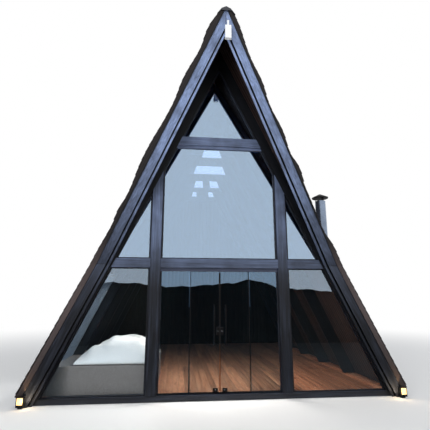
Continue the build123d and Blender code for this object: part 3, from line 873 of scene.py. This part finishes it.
def courseSpots(tree, given):
    # a row of points for each course down the guide, half a tab out of step with the next
    curve = addNode(tree, "GeometryNodeMeshToCurve", {}, {0: given["Geometry"]})
    courses = addNode(tree, "GeometryNodeResampleCurve", {"mode": "LENGTH"}, {
        "Curve": curve.outputs[0], "Length": given["Exposure"],
    })
    points = addNode(tree, "GeometryNodeCurveToPoints", {"mode": "EVALUATED"}, {
        0: courses.outputs[0],
    }).outputs
    aimed = storeOn(tree, points[0], "down", points["Tangent"], "FLOAT_VECTOR")
    numbered = storeOn(tree, aimed, "course", addNode(tree, "GeometryNodeInputIndex").outputs[0])
    row = addNode(tree, "GeometryNodeMeshLine", {"mode": "OFFSET"}, {
        "Count": given["Tabs In Row"], "Start Location": vectorOf(tree, Y=given["First Tab"]),
        "Offset": vectorOf(tree, Y=given["Tab Width"]),
    })
    spots = putOnPoints(tree, numbered, row.outputs[0])
    odd = compute(tree, "MODULO", readFrom(tree, "course"), 2.0)
    stagger = compute(tree, "MULTIPLY", odd, compute(tree, "MULTIPLY", given["Tab Width"], 0.5))
    jitter = addNode(tree, "FunctionNodeRandomValue", {}, {
        2: -shingle["jitter"], 3: shingle["jitter"], "Seed": given["Seed"],
    })
    shift = compute(tree, "ADD", stagger, jitter.outputs[1])
    return movePoints(tree, spots, Offset=vectorOf(tree, Y=shift))


def clearOpenings(tree, given, spots):
    # drops tabs past the verges or inside the opening, and marks those that reach over its sides
    half = compute(tree, "MULTIPLY", given["Tab Width"], 0.5)
    parts = pointParts(tree)
    low = partsOf(tree, given["Hole Low"])
    high = partsOf(tree, given["Hole High"])
    farEdge = compute(tree, "ADD", parts["Y"], half)
    nearEdge = compute(tree, "SUBTRACT", parts["Y"], half)
    ahead = compute(tree, "LESS_THAN", farEdge, frontPlane(tree, given, parts["Z"]))
    behind = compute(tree, "GREATER_THAN", nearEdge, given["Back End"])
    overFoot = compute(tree, "GREATER_THAN", parts["Z"], low["Z"])
    levelWith = compute(tree, "MULTIPLY", overFoot, compute(tree, "LESS_THAN", parts["Z"], high["Z"]))
    pastFront = compute(tree, "GREATER_THAN", farEdge, low["Y"])
    beforeBack = compute(tree, "LESS_THAN", nearEdge, high["Y"])
    startsAhead = compute(tree, "LESS_THAN", nearEdge, low["Y"])
    endsBehind = compute(tree, "GREATER_THAN", farEdge, high["Y"])
    inside = compute(tree, "MULTIPLY", compute(tree, "MULTIPLY", pastFront, beforeBack), levelWith)
    gone = compute(tree, "MAXIMUM", ahead, behind)
    for label, first, second in (("front", startsAhead, pastFront), ("back", endsBehind, beforeBack)):
        over = compute(tree, "MULTIPLY", compute(tree, "MULTIPLY", first, second), levelWith)
        inside = compute(tree, "SUBTRACT", inside, over)
        spots = storeOn(tree, spots, f"over_{label}", over)
    gone = compute(tree, "MAXIMUM", gone, inside)
    return addNode(tree, "GeometryNodeDeleteGeometry", {"domain": "POINT"}, {0: spots, 1: gone}).outputs[0]


def tabShapes(tree, given, spots):
    # a thin, slightly curled tab on each point, its butt lifted off the course below
    size = vectorOf(
        tree, X=compute(tree, "ADD", given["Exposure"], given["Head Lap"]),
        Y=compute(tree, "SUBTRACT", given["Tab Width"], given["Slit"]), Z=given["Thickness"],
    )
    tab = addNode(tree, "GeometryNodeMeshCube", {}, {"Size": size, "Vertices Y": 4})
    facing = addNode(tree, "FunctionNodeAlignRotationToVector", {"axis": "X", "pivot_axis": "Y"}, {
        "Vector": readFrom(tree, "down", "FLOAT_VECTOR"),
    })
    lift = compute(tree, "DIVIDE", given["Thickness"], given["Exposure"])
    lifted = addNode(tree, "FunctionNodeRotateRotation", {"rotation_space": "LOCAL"}, {
        0: facing.outputs[0], 1: vectorOf(tree, Y=compute(tree, "MULTIPLY", lift, -1.0)),
    })
    tabs = putOnPoints(tree, spots, tab.outputs[0], Rotation=lifted.outputs[0])
    wave = addNode(tree, "ShaderNodeTexNoise", {}, {"Scale": 9.0, "Detail": 1.0}).outputs[0]
    warp = compute(tree, "MULTIPLY_ADD", wave, shingle["curl"], -shingle["curl"] / 2)
    return movePoints(tree, tabs, Offset=vectorOf(tree, X=warp))


def trimTabs(tree, given, tabs):
    # draws the tabs' corners in to the prow, the back verge and the opening's sides
    farAway = 100.0
    low = partsOf(tree, given["Hole Low"])
    high = partsOf(tree, given["Hole High"])
    parts = pointParts(tree)
    y = compute(tree, "MAXIMUM", parts["Y"], frontPlane(tree, given, parts["Z"]))
    y = compute(tree, "MINIMUM", y, given["Back End"])
    for label, limit, operation, slack in (
        ("front", low["Y"], "MINIMUM", farAway), ("back", high["Y"], "MAXIMUM", -farAway),
    ):
        free = compute(tree, "SUBTRACT", 1.0, readFrom(tree, f"over_{label}"))
        y = compute(tree, operation, y, compute(tree, "MULTIPLY_ADD", free, slack, limit))
    return movePoints(tree, tabs, Position=vectorOf(tree, X=parts["X"], Y=y, Z=parts["Z"]))


def shingleTree():
    # courses of tabs along a guide that follows the covering down the slope
    tree, given = startTree("shingle_courses", {
        "Exposure": 0.143, "Tab Width": 0.333, "Slit": 0.005, "Thickness": 0.007, "Head Lap": 0.02,
        "Tabs In Row": 28, "First Tab": -4.7, "Front At Floor": -3.4, "Front Lean": 0.15, "Knee": 2.0,
        "Back End": 4.4, "Hole Low": (0.0, 0.0, 0.0), "Hole High": (0.0, 0.0, 0.0), "Seed": 1,
    })
    spots = clearOpenings(tree, given, courseSpots(tree, given))
    tabs = tabShapes(tree, given, storeTone(tree, spots, given["Seed"]))
    return endTree(tree, trimTabs(tree, given, tabs), shingleFelt)


capEdge = downAt(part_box("ridge_cap")[0].z) + shingle["underCap"]
lipStart = downAt(coverLow.z + shingle["lip"])


def coveringProfile(word):
    # the covering's outer line, from ridge to foot, read off its back end
    found = {}
    for vertex in nodes[f"roof_covering_{word}"].data.vertices:
        x, y, z = vertex.co
        rise = abs(x) * sin(slope) + z * cos(slope) - deckFace
        down = abs(x) * cos(slope) + (ridgeZ - z) * sin(slope)
        if y > coverHigh.y - 1 * mm and rise > 10 * mm:
            found[round(down, 3)] = rise
    return sorted(found.items())


def shingleCourses(side, word, hole):
    lift = shingle["thickness"] * 0.9
    line = coveringProfile(word)
    kept = [pair for pair in line if capEdge < pair[0] < lipStart]
    below = [pair for pair in line if pair[0] >= lipStart] or [kept[-1]]
    share = (lipStart - kept[-1][0]) / max(below[0][0] - kept[-1][0], 1 * mm)
    kept.append((lipStart, kept[-1][1] + (below[0][1] - kept[-1][1]) * min(share, 1.0)))
    points = [roofPoint(1, down, rise + lift) for down, rise in kept]
    edges = [(i, i + 1) for i in range(len(points) - 1)]
    guide = guideMesh(f"shingle_guide_{word}", points, edges)
    obj = runTree(f"roof_shingles_{word}", shingleTree(), guide, {
        "Exposure": shingle["exposure"], "Tab Width": shingle["tabWidth"], "Slit": shingle["slit"],
        "Thickness": shingle["thickness"], "Head Lap": shingle["headLap"], "Seed": shingle["seed"] + side,
        "First Tab": coverLow.y - shingle["tabWidth"], "Front At Floor": bargeFootY - shingle["pastBarge"],
        "Front Lean": lean, "Knee": kneeZ, "Back End": coverHigh.y - shingle["backGap"],
        "Hole Low": hole[0], "Hole High": hole[1],
    }, "house")
    if side < 0:
        obj.data.transform(Matrix.Scale(-1, 4, (1, 0, 0)))
        obj.data.flip_normals()


openings = {"windowLap": 12 * mm, "flueSide": 20 * mm, "flueFoot": 30 * mm, "flueHeight": 400 * mm}


def shingleRoof():
    lap = Vector((0, openings["windowLap"], openings["windowLap"]))
    shingleCourses(-1, "left", (tuple(windowLow + lap), tuple(windowHigh - lap)))
    low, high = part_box("flue_flashing")
    shingleCourses(1, "right", (
        (0.0, low.y + openings["flueSide"], low.z + openings["flueFoot"]),
        (0.0, high.y - openings["flueSide"], low.z + openings["flueHeight"]),
    ))


shingleRoof()


skirt = {
    "width": 70 * mm, "thickness": 3 * mm, "rise": 47 * mm, "frameLap": 40 * mm, "arris": 1 * mm, "seed": 71,
}


def windowSkirt():
    # thin metal strips on the shingles round the side window
    rise, width = skirt["rise"], skirt["width"]
    down0 = downAt(windowHigh.z - skirt["frameLap"]) - width / 2
    down1 = downAt(windowLow.z + skirt["frameLap"]) + width / 2
    runs = []
    for y in (windowLow.y - width / 2, windowHigh.y + width / 2):
        middle = roofPoint(-1, (down0 + down1) / 2, rise)
        runs.append(((middle.x, y, middle.z), down1 - down0 + width, (0, -slope, 0)))
    acrossRoof = Matrix(((0, -cos(slope), -sin(slope)), (1, 0, 0), (0, -sin(slope), cos(slope)))).to_euler()
    for down in (down0, down1):
        middle = roofPoint(-1, down, rise + skirt["thickness"] * 0.9)
        middle.y = (windowLow.y + windowHigh.y) / 2
        runs.append((middle, windowHigh.y - windowLow.y + 2 * width, tuple(acrossRoof)))
    layBoards("window_skirt", metal["blackFlashing"], runs, skirt, skirt["seed"], "house", "flue_metal")


windowSkirt()
print("roof shingled")


# Beads, seals, lamps and other small pieces

beads = {"width": 32 * mm, "thickness": 22 * mm, "arris": 3 * mm, "seed": 51}
thinBeads = {"width": 18 * mm, "thickness": 19.8 * mm, "arris": 3 * mm, "peakGap": 20 * mm, "seed": 52}
jamb = {"inset": 11 * mm, "foot": 24 * mm, "head": 64 * mm, "back": 4 * mm}
bedLath = {
    "width": 14 * mm, "thickness": 62 * mm, "arris": 3 * mm, "end": -2.86, "height": 92 * mm, "seed": 53,
}


def layLaths(name, ends, values, material, body, slotName):
    # straight eased strips in planes parallel to the front, from their ends and their depth
    runs = []
    for x0, z0, x1, z1, y in ends:
        turn = (pi / 2, -atan2(z1 - z0, x1 - x0), 0)
        runs.append((((x0 + x1) / 2, y, (z0 + z1) / 2), Vector((x1 - x0, z1 - z0)).length, turn))
    return layBoards(name, material, runs, values, values["seed"], body, slotName)


def glazingBeads():
    # upright strips beside both posts, thin ones along the rails and the rafters
    near, far = -postHigh.x, -postLow.x
    railLow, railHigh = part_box("front_mid_rail")
    collarLow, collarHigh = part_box("front_collar_beam")
    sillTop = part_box("front_sill")[1].z
    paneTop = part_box("front_glass_top")[1].z - thinBeads["peakGap"]
    wide, thin = beads["width"] / 2, thinBeads["width"] / 2
    y = glassY - beads["thickness"] / 2
    uprights, thins = [], []
    for side in (-1, 1):
        outer, inner = side * (far + wide), side * (near - wide)
        outerTop = (underRoof(0, rafterDepth) - far - 2 * wide) * tan(slope)
        innerTop = (underRoof(0, rafterDepth) - near) * tan(slope)
        uprights += [(outer, sillTop, outer, railLow.z, y), (outer, railHigh.z, outer, outerTop, y)]
        uprights += [(inner, railHigh.z, inner, innerTop, y)]
        x = side * (near - jamb["inset"])
        uprights += [(x, sillTop + jamb["foot"], x, railLow.z - jamb["head"], y + jamb["back"])]
        edge = underRoof(0, rafterDepth + thin)
        for low, high in ((sillTop, railLow.z), (railHigh.z, collarLow.z), (collarHigh.z, paneTop)):
            thins.append((side * (edge - low / tan(slope)), low, side * (edge - high / tan(slope)), high, y))
        start = side * (far + 2 * wide)
        for z, roofAt in (
            (railLow.z - thin, railLow.z), (railHigh.z + thin, railHigh.z + 2 * thin),
            (sillTop + thin, sillTop + 2 * thin),
        ):
            thins.append((start, z, side * underRoof(roofAt, rafterDepth), z, y))
    thins.append((-near, railHigh.z + thin, near, railHigh.z + thin, y))
    top = underRoof(collarHigh.z + 2 * thin, rafterDepth)
    thins.append((-top, collarHigh.z + thin, top, collarHigh.z + thin, y))
    layLaths("post_beads", uprights, beads, beadPine, "house", "black_timber")
    foot = [(bedLath["end"], bedLath["height"], -far, bedLath["height"], (postHigh.y + bedLow.y) / 2)]
    layLaths("bed_foot_lath", foot, bedLath, beadPine, "house", "black_timber")
    layLaths("rail_beads", thins, thinBeads, beadPine, "house", "black_timber")


glazingBeads()
print("panes beaded")


edgeStrip = {"width": 8 * mm, "thickness": 14 * mm, "arris": 2 * mm, "length": 0.62, "seed": 61}
meetingSeal = {
    "width": 13 * mm, "thickness": 14 * mm, "arris": 2 * mm, "foot": 24 * mm, "head": 40 * mm, "seed": 61,
}
fixedSeal = {**meetingSeal, "thickness": 12.6 * mm, "head": 8 * mm}


def doorSeals():
    # frosted strips high on the sliding leaves' outer edges, pale also as a painted highlight along the glass
    # edges; black seals where they meet and on the fixed leaves
    frostedHighlight, rubber = plain["frostedEdgeHighlight"], plain["blackRubberSeal"]
    for side, word in bothSides:
        low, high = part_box(f"door_leaf_sliding_{word}")
        y = (low.y + high.y) / 2
        z0, z1 = low.z + meetingSeal["foot"], high.z - meetingSeal["head"]
        near, far = sorted((abs(low.x), abs(high.x)))
        outer = side * (far - edgeStrip["width"] / 2)
        inner = side * (near + meetingSeal["width"] / 2)
        ends = (outer, z1 - edgeStrip["length"], outer, z1, y)
        layLaths(f"door_edge_strip_{word}", [ends], edgeStrip, frostedHighlight, f"door_{word}", "tempered_glass")
        layLaths(f"door_meeting_seal_{word}", [(inner, z0, inner, z1, y)], meetingSeal, rubber,
                 f"door_{word}", "track_metal")
        low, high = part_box(f"door_leaf_fixed_{word}")
        x = side * (min(abs(low.x), abs(high.x)) + fixedSeal["width"] / 2)
        ends = (x, low.z + fixedSeal["foot"], x, high.z - fixedSeal["head"], (low.y + high.y) / 2)
        layLaths(f"fixed_leaf_seal_{word}", [ends], fixedSeal, rubber, "house", "track_metal")


doorSeals()


def meshOf(shape, name, closed=True):
    # a finished form as a mesh, with the faces of a closed one turned outward
    if closed:
        bmesh.ops.recalc_face_normals(shape, faces=shape.faces)
    mesh = bpy.data.meshes.new(name)
    shape.to_mesh(mesh)
    shape.free()
    return mesh


def turned(name, profile, place, direction, body, material, steps=32):
    # a form turned about an axis, from (radius, distance) pairs that start and end on the axis
    shape = bmesh.new()
    rings = []
    for radius, along in profile:
        if radius == 0:
            rings.append([shape.verts.new((0, 0, along))])
            continue
        rings.append([
            shape.verts.new((radius * cos(2 * pi * i / steps), radius * sin(2 * pi * i / steps), along))
            for i in range(steps)
        ])
    for first, second in zip(rings, rings[1:]):
        for i in range(steps):
            j = (i + 1) % steps
            loop = [first[i % len(first)], first[j % len(first)]]
            loop += [second[j % len(second)], second[i % len(second)]]
            shape.faces.new(list(dict.fromkeys(loop)))
    mesh = meshOf(shape, name)
    mesh.transform(Matrix.Translation(place) @ Vector(direction).to_track_quat("Z", "Y").to_matrix().to_4x4())
    mesh.materials.append(material)
    return fasten(addObject(name, mesh), body)


cylinderProfile = [
    (0, 7 * mm), (3.5 * mm, 7 * mm), (3.5 * mm, 5 * mm), (8 * mm, 5 * mm), (9 * mm, 6 * mm),
    (12 * mm, 6 * mm), (14 * mm, 4 * mm), (15 * mm, 0), (15 * mm, -3 * mm), (0, -3 * mm),
]
cylinders = {"lockAside": 36 * mm, "lockDown": 66 * mm, "boltAside": 80 * mm, "boltUp": 31 * mm}


def doorLocks():
    # a bright cylinder on each lock case and each bolt case
    for side, word in bothSides:
        low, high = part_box(f"door_lock_{word}")
        for kind, aside, z in (
            ("lock", cylinders["lockAside"], high.z - cylinders["lockDown"]),
            ("bolt", cylinders["boltAside"], low.z + cylinders["boltUp"]),
        ):
            turned(f"{kind}_cylinder_{word}", cylinderProfile, (side * aside, low.y, z), (0, -1, 0),
                   f"door_{word}", metal["polishedLockCylinder"])


doorLocks()
print("doors dressed")


def easedPlate(name, corners, depth, ease, material, body):
    # a flat plate facing forward from its outline's (x, y, z) corners, its front edges eased
    shape = bmesh.new()
    ring = [Vector(corner) for corner in corners]
    middle = sum(ring, Vector()) / len(ring)
    back = [corner + Vector((0, depth, 0)) for corner in ring]
    front = [corner + (middle - corner).normalized() * ease * 1.5 + Vector((0, -ease, 0)) for corner in ring]
    levels = [[shape.verts.new(corner) for corner in row] for row in (back, ring, front)]
    for first, second in zip(levels, levels[1:]):
        for i in range(len(ring)):
            j = (i + 1) % len(ring)
            shape.faces.new((first[i], first[j], second[j], second[i]))
    shape.faces.new(levels[-1])
    shape.faces.new(list(reversed(levels[0])))
    mesh = meshOf(shape, name)
    mesh.materials.append(material)
    return fasten(addObject(name, mesh), body)


tiePanel = {"tie": 50 * mm, "depth": 12 * mm, "ease": 3 * mm}
tieGlowBands = {
    # tie number: foot and top height off the tie's underside in mm, and for each panel its left and
    # right ends at the foot and at the top
    0: (-60, 148, [(-0.25, 0.23, -0.20, 0.15)]),
    1: (12, 242, [(-0.39, 0.50, -0.31, 0.42)]),
    2: (43, 258, [(-0.32, -0.03, -0.26, -0.05), (0.20, 0.48, 0.17, 0.42)]),
    3: (140, 305, [(-0.33, -0.16, -0.29, -0.17), (0.28, 0.46, 0.24, 0.40)]),
}


def tieGlowPanels():
    # glowing panels on the collar ties' front faces: painted light that stands in for the white bands high in
    # the middle pane
    low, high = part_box("inner_collar_ties")
    pitch = (high.y - low.y - tiePanel["tie"]) / 3
    for number, (foot, top, panels) in tieGlowBands.items():
        y = low.y + pitch * number - tiePanel["depth"]
        z0, z1 = low.z + foot * mm, low.z + top * mm
        for count, (left, right, topLeft, topRight) in enumerate(panels):
            corners = [(left, y, z0), (right, y, z0), (topRight, y, z1), (topLeft, y, z1)]
            easedPlate(f"tie_glow_{number}_{count}", corners, tiePanel["depth"], tiePanel["ease"],
                       lens["bandGlowPanel"], "house")


tieGlowPanels()


footLens = {"side": 12 * mm, "foot": 62 * mm, "top": 10 * mm, "depth": 2 * mm, "ease": 3 * mm}


def lampLenses():
    # a warm front lens on each foot lamp
    for word in ("left", "right"):
        low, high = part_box(f"foot_lamp_{word}")
        x0, x1 = low.x + footLens["side"], high.x - footLens["side"]
        z0, z1 = footLens["foot"], high.z - footLens["top"]
        corners = [(x0, low.y, z0), (x1, low.y, z0), (x1, low.y, z1), (x0, low.y, z1)]
        easedPlate(f"foot_lens_{word}", corners, footLens["depth"], footLens["ease"],
                   lens["warmLitLens"], "house")


lampLenses()
print("lamps dressed")


# Bed

duvet = {
    # share of the bed's width, and height over the bed base
    "outline": (
        (0.0, 0.04), (0.08, 0.13), (0.25, 0.30), (0.42, 0.405), (0.6, 0.435), (0.75, 0.41), (0.86, 0.36),
        (1.0, 0.27),
    ),
    "steps": (34, 46),
    "inset": (30 * mm, 26 * mm),    # how far it starts inside the bedding's box
    "shorter": (58 * mm, 56 * mm),  # and how much smaller than the box it is in all
    "rounding": 0.1,                # share of the length over which both ends fall away
    "endHeight": 0.35,
    "fall": 0.16,                   # how much lower it lies at the far end
    "fold": 0.045,
    "thinnest": 0.04,
    "voxel": 30 * mm,
    "pressure": 4.0,
    "frames": 20,
    "cap": 28 * mm,                 # no point swells further than this
    "heldBelow": 30 * mm,           # over the bed base
}


def gridForm(name, across, along, place):
    # a closed form from a grid of (x, y, top, bottom) places
    shape = bmesh.new()
    tops, bottoms = [], []
    for i in range(across + 1):
        rowTop, rowBottom = [], []
        for j in range(along + 1):
            x, y, top, bottom = place(i / across, j / along)
            rowTop.append(shape.verts.new((x, y, top)))
            rowBottom.append(shape.verts.new((x, y, bottom)))
        tops.append(rowTop)
        bottoms.append(rowBottom)
    for i in range(across):
        for j in range(along):
            shape.faces.new((tops[i][j], tops[i + 1][j], tops[i + 1][j + 1], tops[i][j + 1]))
            shape.faces.new((bottoms[i][j], bottoms[i][j + 1], bottoms[i + 1][j + 1], bottoms[i + 1][j]))
    rim = [(i, 0) for i in range(across + 1)] + [(across, j) for j in range(1, along + 1)]
    rim += [(i, along) for i in range(across - 1, -1, -1)] + [(0, j) for j in range(along - 1, 0, -1)]
    for (i, j), (m, n) in zip(rim, rim[1:] + rim[:1]):
        shape.faces.new((tops[i][j], bottoms[i][j], bottoms[m][n], tops[m][n]))
    return addObject(name, meshOf(shape, name))


def heightOf(share):
    before, after, part = between(duvet["outline"], share)
    return before + (after - before) * (3 - 2 * part) * part * part


def duvetPlace(u, v):
    low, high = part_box("bedding")
    x = low.x + duvet["inset"][0] + (high.x - low.x - duvet["shorter"][0]) * u
    y = low.y + duvet["inset"][1] + (high.y - low.y - duvet["shorter"][1]) * v
    end = min(1.0, v / duvet["rounding"], (1 - v) / duvet["rounding"])
    rounded = duvet["endHeight"] + (1 - duvet["endHeight"]) * end * (2 - end)
    crown = heightOf(u) * rounded - duvet["fall"] * v * u
    fold = noise.fractal(Vector((x * 2.6 + y * 1.1, y * 1.9 - x, 4.0)), 0.8, 2.1, 3) * duvet["fold"]
    crease = 0.9 * duvet["fold"] * abs(sin(4.1 * x + 2.7 * y + 0.9))
    rise = crown + (fold - crease) * end * min(1.0, u * 5)
    return x, y, low.z + max(duvet["thinnest"], rise), low.z + 2 * mm


def puff(obj, values, holdBelow):
    # swell a closed form as padded cloth; points under the given height stay on what carries it
    remesh = obj.modifiers.new("remesh", "REMESH")
    remesh.mode = "VOXEL"
    remesh.voxel_size = values["voxel"]
    before = [vertex.co.copy() for vertex in bake(obj).vertices]
    held = obj.vertex_groups.new(name="held")
    held.add([number for number, spot in enumerate(before) if spot.z < holdBelow], 1.0, "REPLACE")
    cloth = obj.modifiers.new("cloth", "CLOTH")
    cloth.settings.use_pressure = True
    cloth.settings.uniform_pressure_force = values["pressure"]
    cloth.settings.effector_weights.gravity = 0
    cloth.settings.vertex_group_mass = "held"
    for number in range(1, values["frames"] + 1):
        bpy.context.scene.frame_set(number)
    mesh = bake(obj)
    for vertex, spot in zip(mesh.vertices, before):
        step = vertex.co - spot
        if step.length > values["cap"]:
            vertex.co = spot + step.normalized() * values["cap"]
    bpy.context.scene.frame_set(1)
    obj.vertex_groups.clear()
    obj.modifiers.new("even", "SMOOTH").iterations = 3
    obj.modifiers.new("fine", "SUBSURF").levels = 1
    mesh = bake(obj)
    mesh.shade_smooth()
    return mesh


def makeBed():
    cover = gridForm("bedding_duvet", *duvet["steps"], duvetPlace)
    mesh = puff(cover, duvet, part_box("bedding")[0].z + duvet["heldBelow"])
    mesh.materials.append(plain["whiteCottonCover"])
    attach(cover, "house")
    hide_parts("bedding")


makeBed()
print("bed made")


# Floor, lights and camera

stage = {
    "floor": "#e4e4e3", "radius": 60.0, "below": 2 * mm, "fadeStart": 5.5, "fadeEnd": 16.0,
    "worldColour": "#f3f6fb", "worldLight": 0.75,
}


def paleFloor():
    # matt pale ground that keeps the shadow and turns white away from the cabin
    shape = bmesh.new()
    bmesh.ops.create_circle(shape, cap_ends=True, segments=96, radius=stage["radius"])
    mesh = meshOf(shape, "studio_floor", closed=False)
    mesh.transform(Matrix.Translation((0, 0, -stage["below"])))
    material, tree, shader, place = startMaterial("paleStudioFloor", {
        "Base Color": linear(stage["floor"]), "Roughness": 0.9,
    })
    away = addNode(tree, "ShaderNodeVectorMath", {"operation": "LENGTH"}, {0: place}).outputs["Value"]
    fade = remap(tree, away, stage["fadeStart"], stage["fadeEnd"], 0.0, 1.0, "SMOOTHSTEP")
    path = addNode(tree, "ShaderNodeLightPath").outputs
    seen = compute(tree, "MAXIMUM", path["Is Camera Ray"], path["Is Transmission Ray"])
    white = addNode(tree, "ShaderNodeEmission", {}, {"Strength": 1.0})
    share = compute(tree, "MULTIPLY", fade, seen)
    mixSurfaces(tree, "Material Output", share, shader.outputs[0], white.outputs[0])
    mesh.materials.append(material)
    floor = addObject("studio_floor", mesh)


mirrorCard = {
    "distance": 7.6,            # from the front glass, a little more than the camera's
    "halfSpan": 16.0,
    "lift": 12 * mm,
    "apronFrom": 0.25,          # how far in front of the glass its flat part on the ground starts
    "steps": 160,
    "edge": (                   # x and height of its upper edge
        (-16, 2.0), (-6, 2.15), (-3.4, 2.3), (-2.2, 2.26), (-1.2, 2.14), (-0.2, 2.16), (0.7, 2.24),
        (1.5, 2.3), (2.0, 2.42), (2.35, 2.4), (2.8, 2.26), (3.3, 2.08), (4.4, 2.06), (5.5, 1.95), (16, 2.0),
    ),
    "waves": ((0.02, 7.3), (0.012, 17.1)),
    "colours": ("#0c0d0b", "#23241d"),
}


def darkCard():
    # a dark card behind the camera and along the ground, seen only in what glass mirrors or lets through
    left, right = -mirrorCard["halfSpan"], mirrorCard["halfSpan"]
    back = glassY - mirrorCard["distance"]
    near = glassY - mirrorCard["apronFrom"]
    shape = bmesh.new()
    top, foot = [], []
    for number in range(mirrorCard["steps"] + 1):
        x = left + (right - left) * number / mirrorCard["steps"]
        before, after, share = between(mirrorCard["edge"], x)
        waves = sum(size * sin(x * pitch) for size, pitch in mirrorCard["waves"])
        foot.append(shape.verts.new((x, back, mirrorCard["lift"])))
        top.append(shape.verts.new((x, back, before + (after - before) * share + waves)))
    for number in range(mirrorCard["steps"]):
        shape.faces.new((foot[number], foot[number + 1], top[number + 1], top[number]))
    front = [shape.verts.new((x, near, mirrorCard["lift"])) for x in (left, right)]
    shape.faces.new((front[0], front[1], foot[-1], foot[0]))
    mesh = meshOf(shape, "dark_card", closed=False)
    material, tree, shader, place = startMaterial("matteBlackCard", {"Roughness": 0.95})
    dark, light = mirrorCard["colours"]
    dusk = colourRamp(tree, cloudNoise(tree, place, 0.8, Detail=5), (0.3, dark), (0.75, light))
    tree.links.new(dusk, shader.inputs["Base Color"])
    mesh.materials.append(material)
    card = addObject("dark_card", mesh)
    card.visible_camera = False
    card.visible_diffuse = False
    card.visible_shadow = False


def studioWorld():
    # soft even light, shown as white to the camera and in what glass mirrors or lets through
    world = bpy.data.worlds.new("studioWorld")
    bpy.context.scene.world = world
    world.use_nodes = True
    tree = world.node_tree
    soft = tree.nodes["Background"]
    soft.inputs["Color"].default_value = linear(stage["worldColour"])
    soft.inputs["Strength"].default_value = stage["worldLight"]
    white = addNode(tree, "ShaderNodeBackground", {}, {"Color": (1, 1, 1, 1), "Strength": 1.0})
    path = addNode(tree, "ShaderNodeLightPath").outputs
    seen = compute(tree, "MAXIMUM", path["Is Camera Ray"], path["Is Glossy Ray"])
    seen = compute(tree, "MAXIMUM", seen, path["Is Transmission Ray"])
    mixSurfaces(tree, "World Output", seen, soft.outputs[0], white.outputs[0])


def addLamp(name, kind, power, colour=(1, 1, 1)):
    # a light that shows neither to the camera nor in what the panes mirror
    light = bpy.data.lights.new(name, kind)
    light.energy = power
    light.color = colour
    lamp = addObject(name, light)
    lamp.visible_glossy = False
    lamp.visible_camera = False
    return lamp


def aimLamp(lamp, place, aim):
    turn = (Vector(aim) - Vector(place)).to_track_quat("-Z", "Y").to_matrix().to_4x4()
    lamp.matrix_world = Matrix.Translation(place) @ turn


softLamps = {
    # name: place, aim, size, power
    "softFront": ((-5.0, -12.0, 7.5), (0, -3, 2.5), 6.0, 420),
    "softRight": ((10.0, -6.0, 6.0), (0, -1, 2.5), 6.0, 260),
    "softBack": ((-4.0, 13.0, 9.0), (0, 2, 3.0), 6.0, 320),
}
roomLamps = {
    # they stand in for daylight in the room; name: place behind the front glass, size, tilt, power, colour
    "roomWash": ((0.0, 1.0, 2.15), (1.9, 1.4), 0, 118, (1.0, 0.86, 0.75)),
    "bedWash": ((-1.62, 0.75, 1.95), (0.6, 0.9), 0, 38, (1.0, 0.94, 0.87)),
    "bedFront": ((-1.9, 0.04, 0.55), (1.5, 0.9), 90, 6.5, (1.0, 0.95, 0.9)),
    "sideWash": ((1.75, 0.8, 1.8), (0.5, 0.9), 0, 5, (1.0, 0.93, 0.85)),
}
footGlow = {
    "colour": (1.0, 0.72, 0.38),
    "beside": 45 * mm,
    "power": 1.1, "size": 0.04, "back": 15 * mm, "height": 0.15,
    "wash": 22, "washAngle": 80, "washBlend": 0.8, "washAhead": 60 * mm, "washFrom": 0.04, "washTo": 0.2,
}


def lightStage():
    for name, (place, aim, size, power) in softLamps.items():
        lamp = addLamp(name, "AREA", power)
        lamp.data.shape = "DISK"
        lamp.data.size = size
        aimLamp(lamp, place, aim)


def lightRoom():
    for name, (place, size, tilt, power, colour) in roomLamps.items():
        lamp = addLamp(name, "AREA", power, colour)
        lamp.data.shape = "RECTANGLE"
        lamp.data.size, lamp.data.size_y = size
        lamp.location = (place[0], glassY + place[1], place[2])
        lamp.rotation_euler = (radians(tilt), 0, 0)
        lamp.visible_transmission = False


def lightFeet():
    # beside each foot lamp a small glow, and a wash up the foot of its barge board
    for side, word in bothSides:
        low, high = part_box(f"foot_lamp_{word}")
        x = high.x + footGlow["beside"] if side < 0 else low.x - footGlow["beside"]
        glow = addLamp(f"footGlow_{word}", "POINT", footGlow["power"], footGlow["colour"])
        glow.data.shadow_soft_size = footGlow["size"]
        glow.location = (x, low.y + footGlow["back"], footGlow["height"])
        wash = addLamp(f"footWash_{word}", "SPOT", footGlow["wash"], footGlow["colour"])
        wash.data.spot_size = radians(footGlow["washAngle"])
        wash.data.spot_blend = footGlow["washBlend"]
        start = (x, low.y - footGlow["washAhead"], footGlow["washFrom"])
        aimLamp(wash, start, (x, bargeFootY, footGlow["washTo"]))


view = {"aside": -0.789, "back": 6.759, "eye": 1.706, "yaw": 0.103, "pitch": 0.226, "lens": 30.31}


def photoCamera():
    data = bpy.data.cameras.new("photoCamera")
    data.lens = view["lens"]
    data.sensor_width = 36
    camera = addObject("photoCamera", data)
    turn = Matrix.Rotation(-view["yaw"], 4, "Z") @ Matrix.Rotation(view["pitch"], 4, "X")
    turn = turn @ Matrix.Rotation(pi / 2, 4, "X")
    camera.matrix_world = Matrix.Translation((view["aside"], glassY - view["back"], view["eye"])) @ turn
    bpy.context.scene.camera = camera


paleFloor()
darkCard()
studioWorld()
lightStage()
lightRoom()
lightFeet()
photoCamera()
bpy.context.scene.view_settings.view_transform = "Standard"
print("stage set")
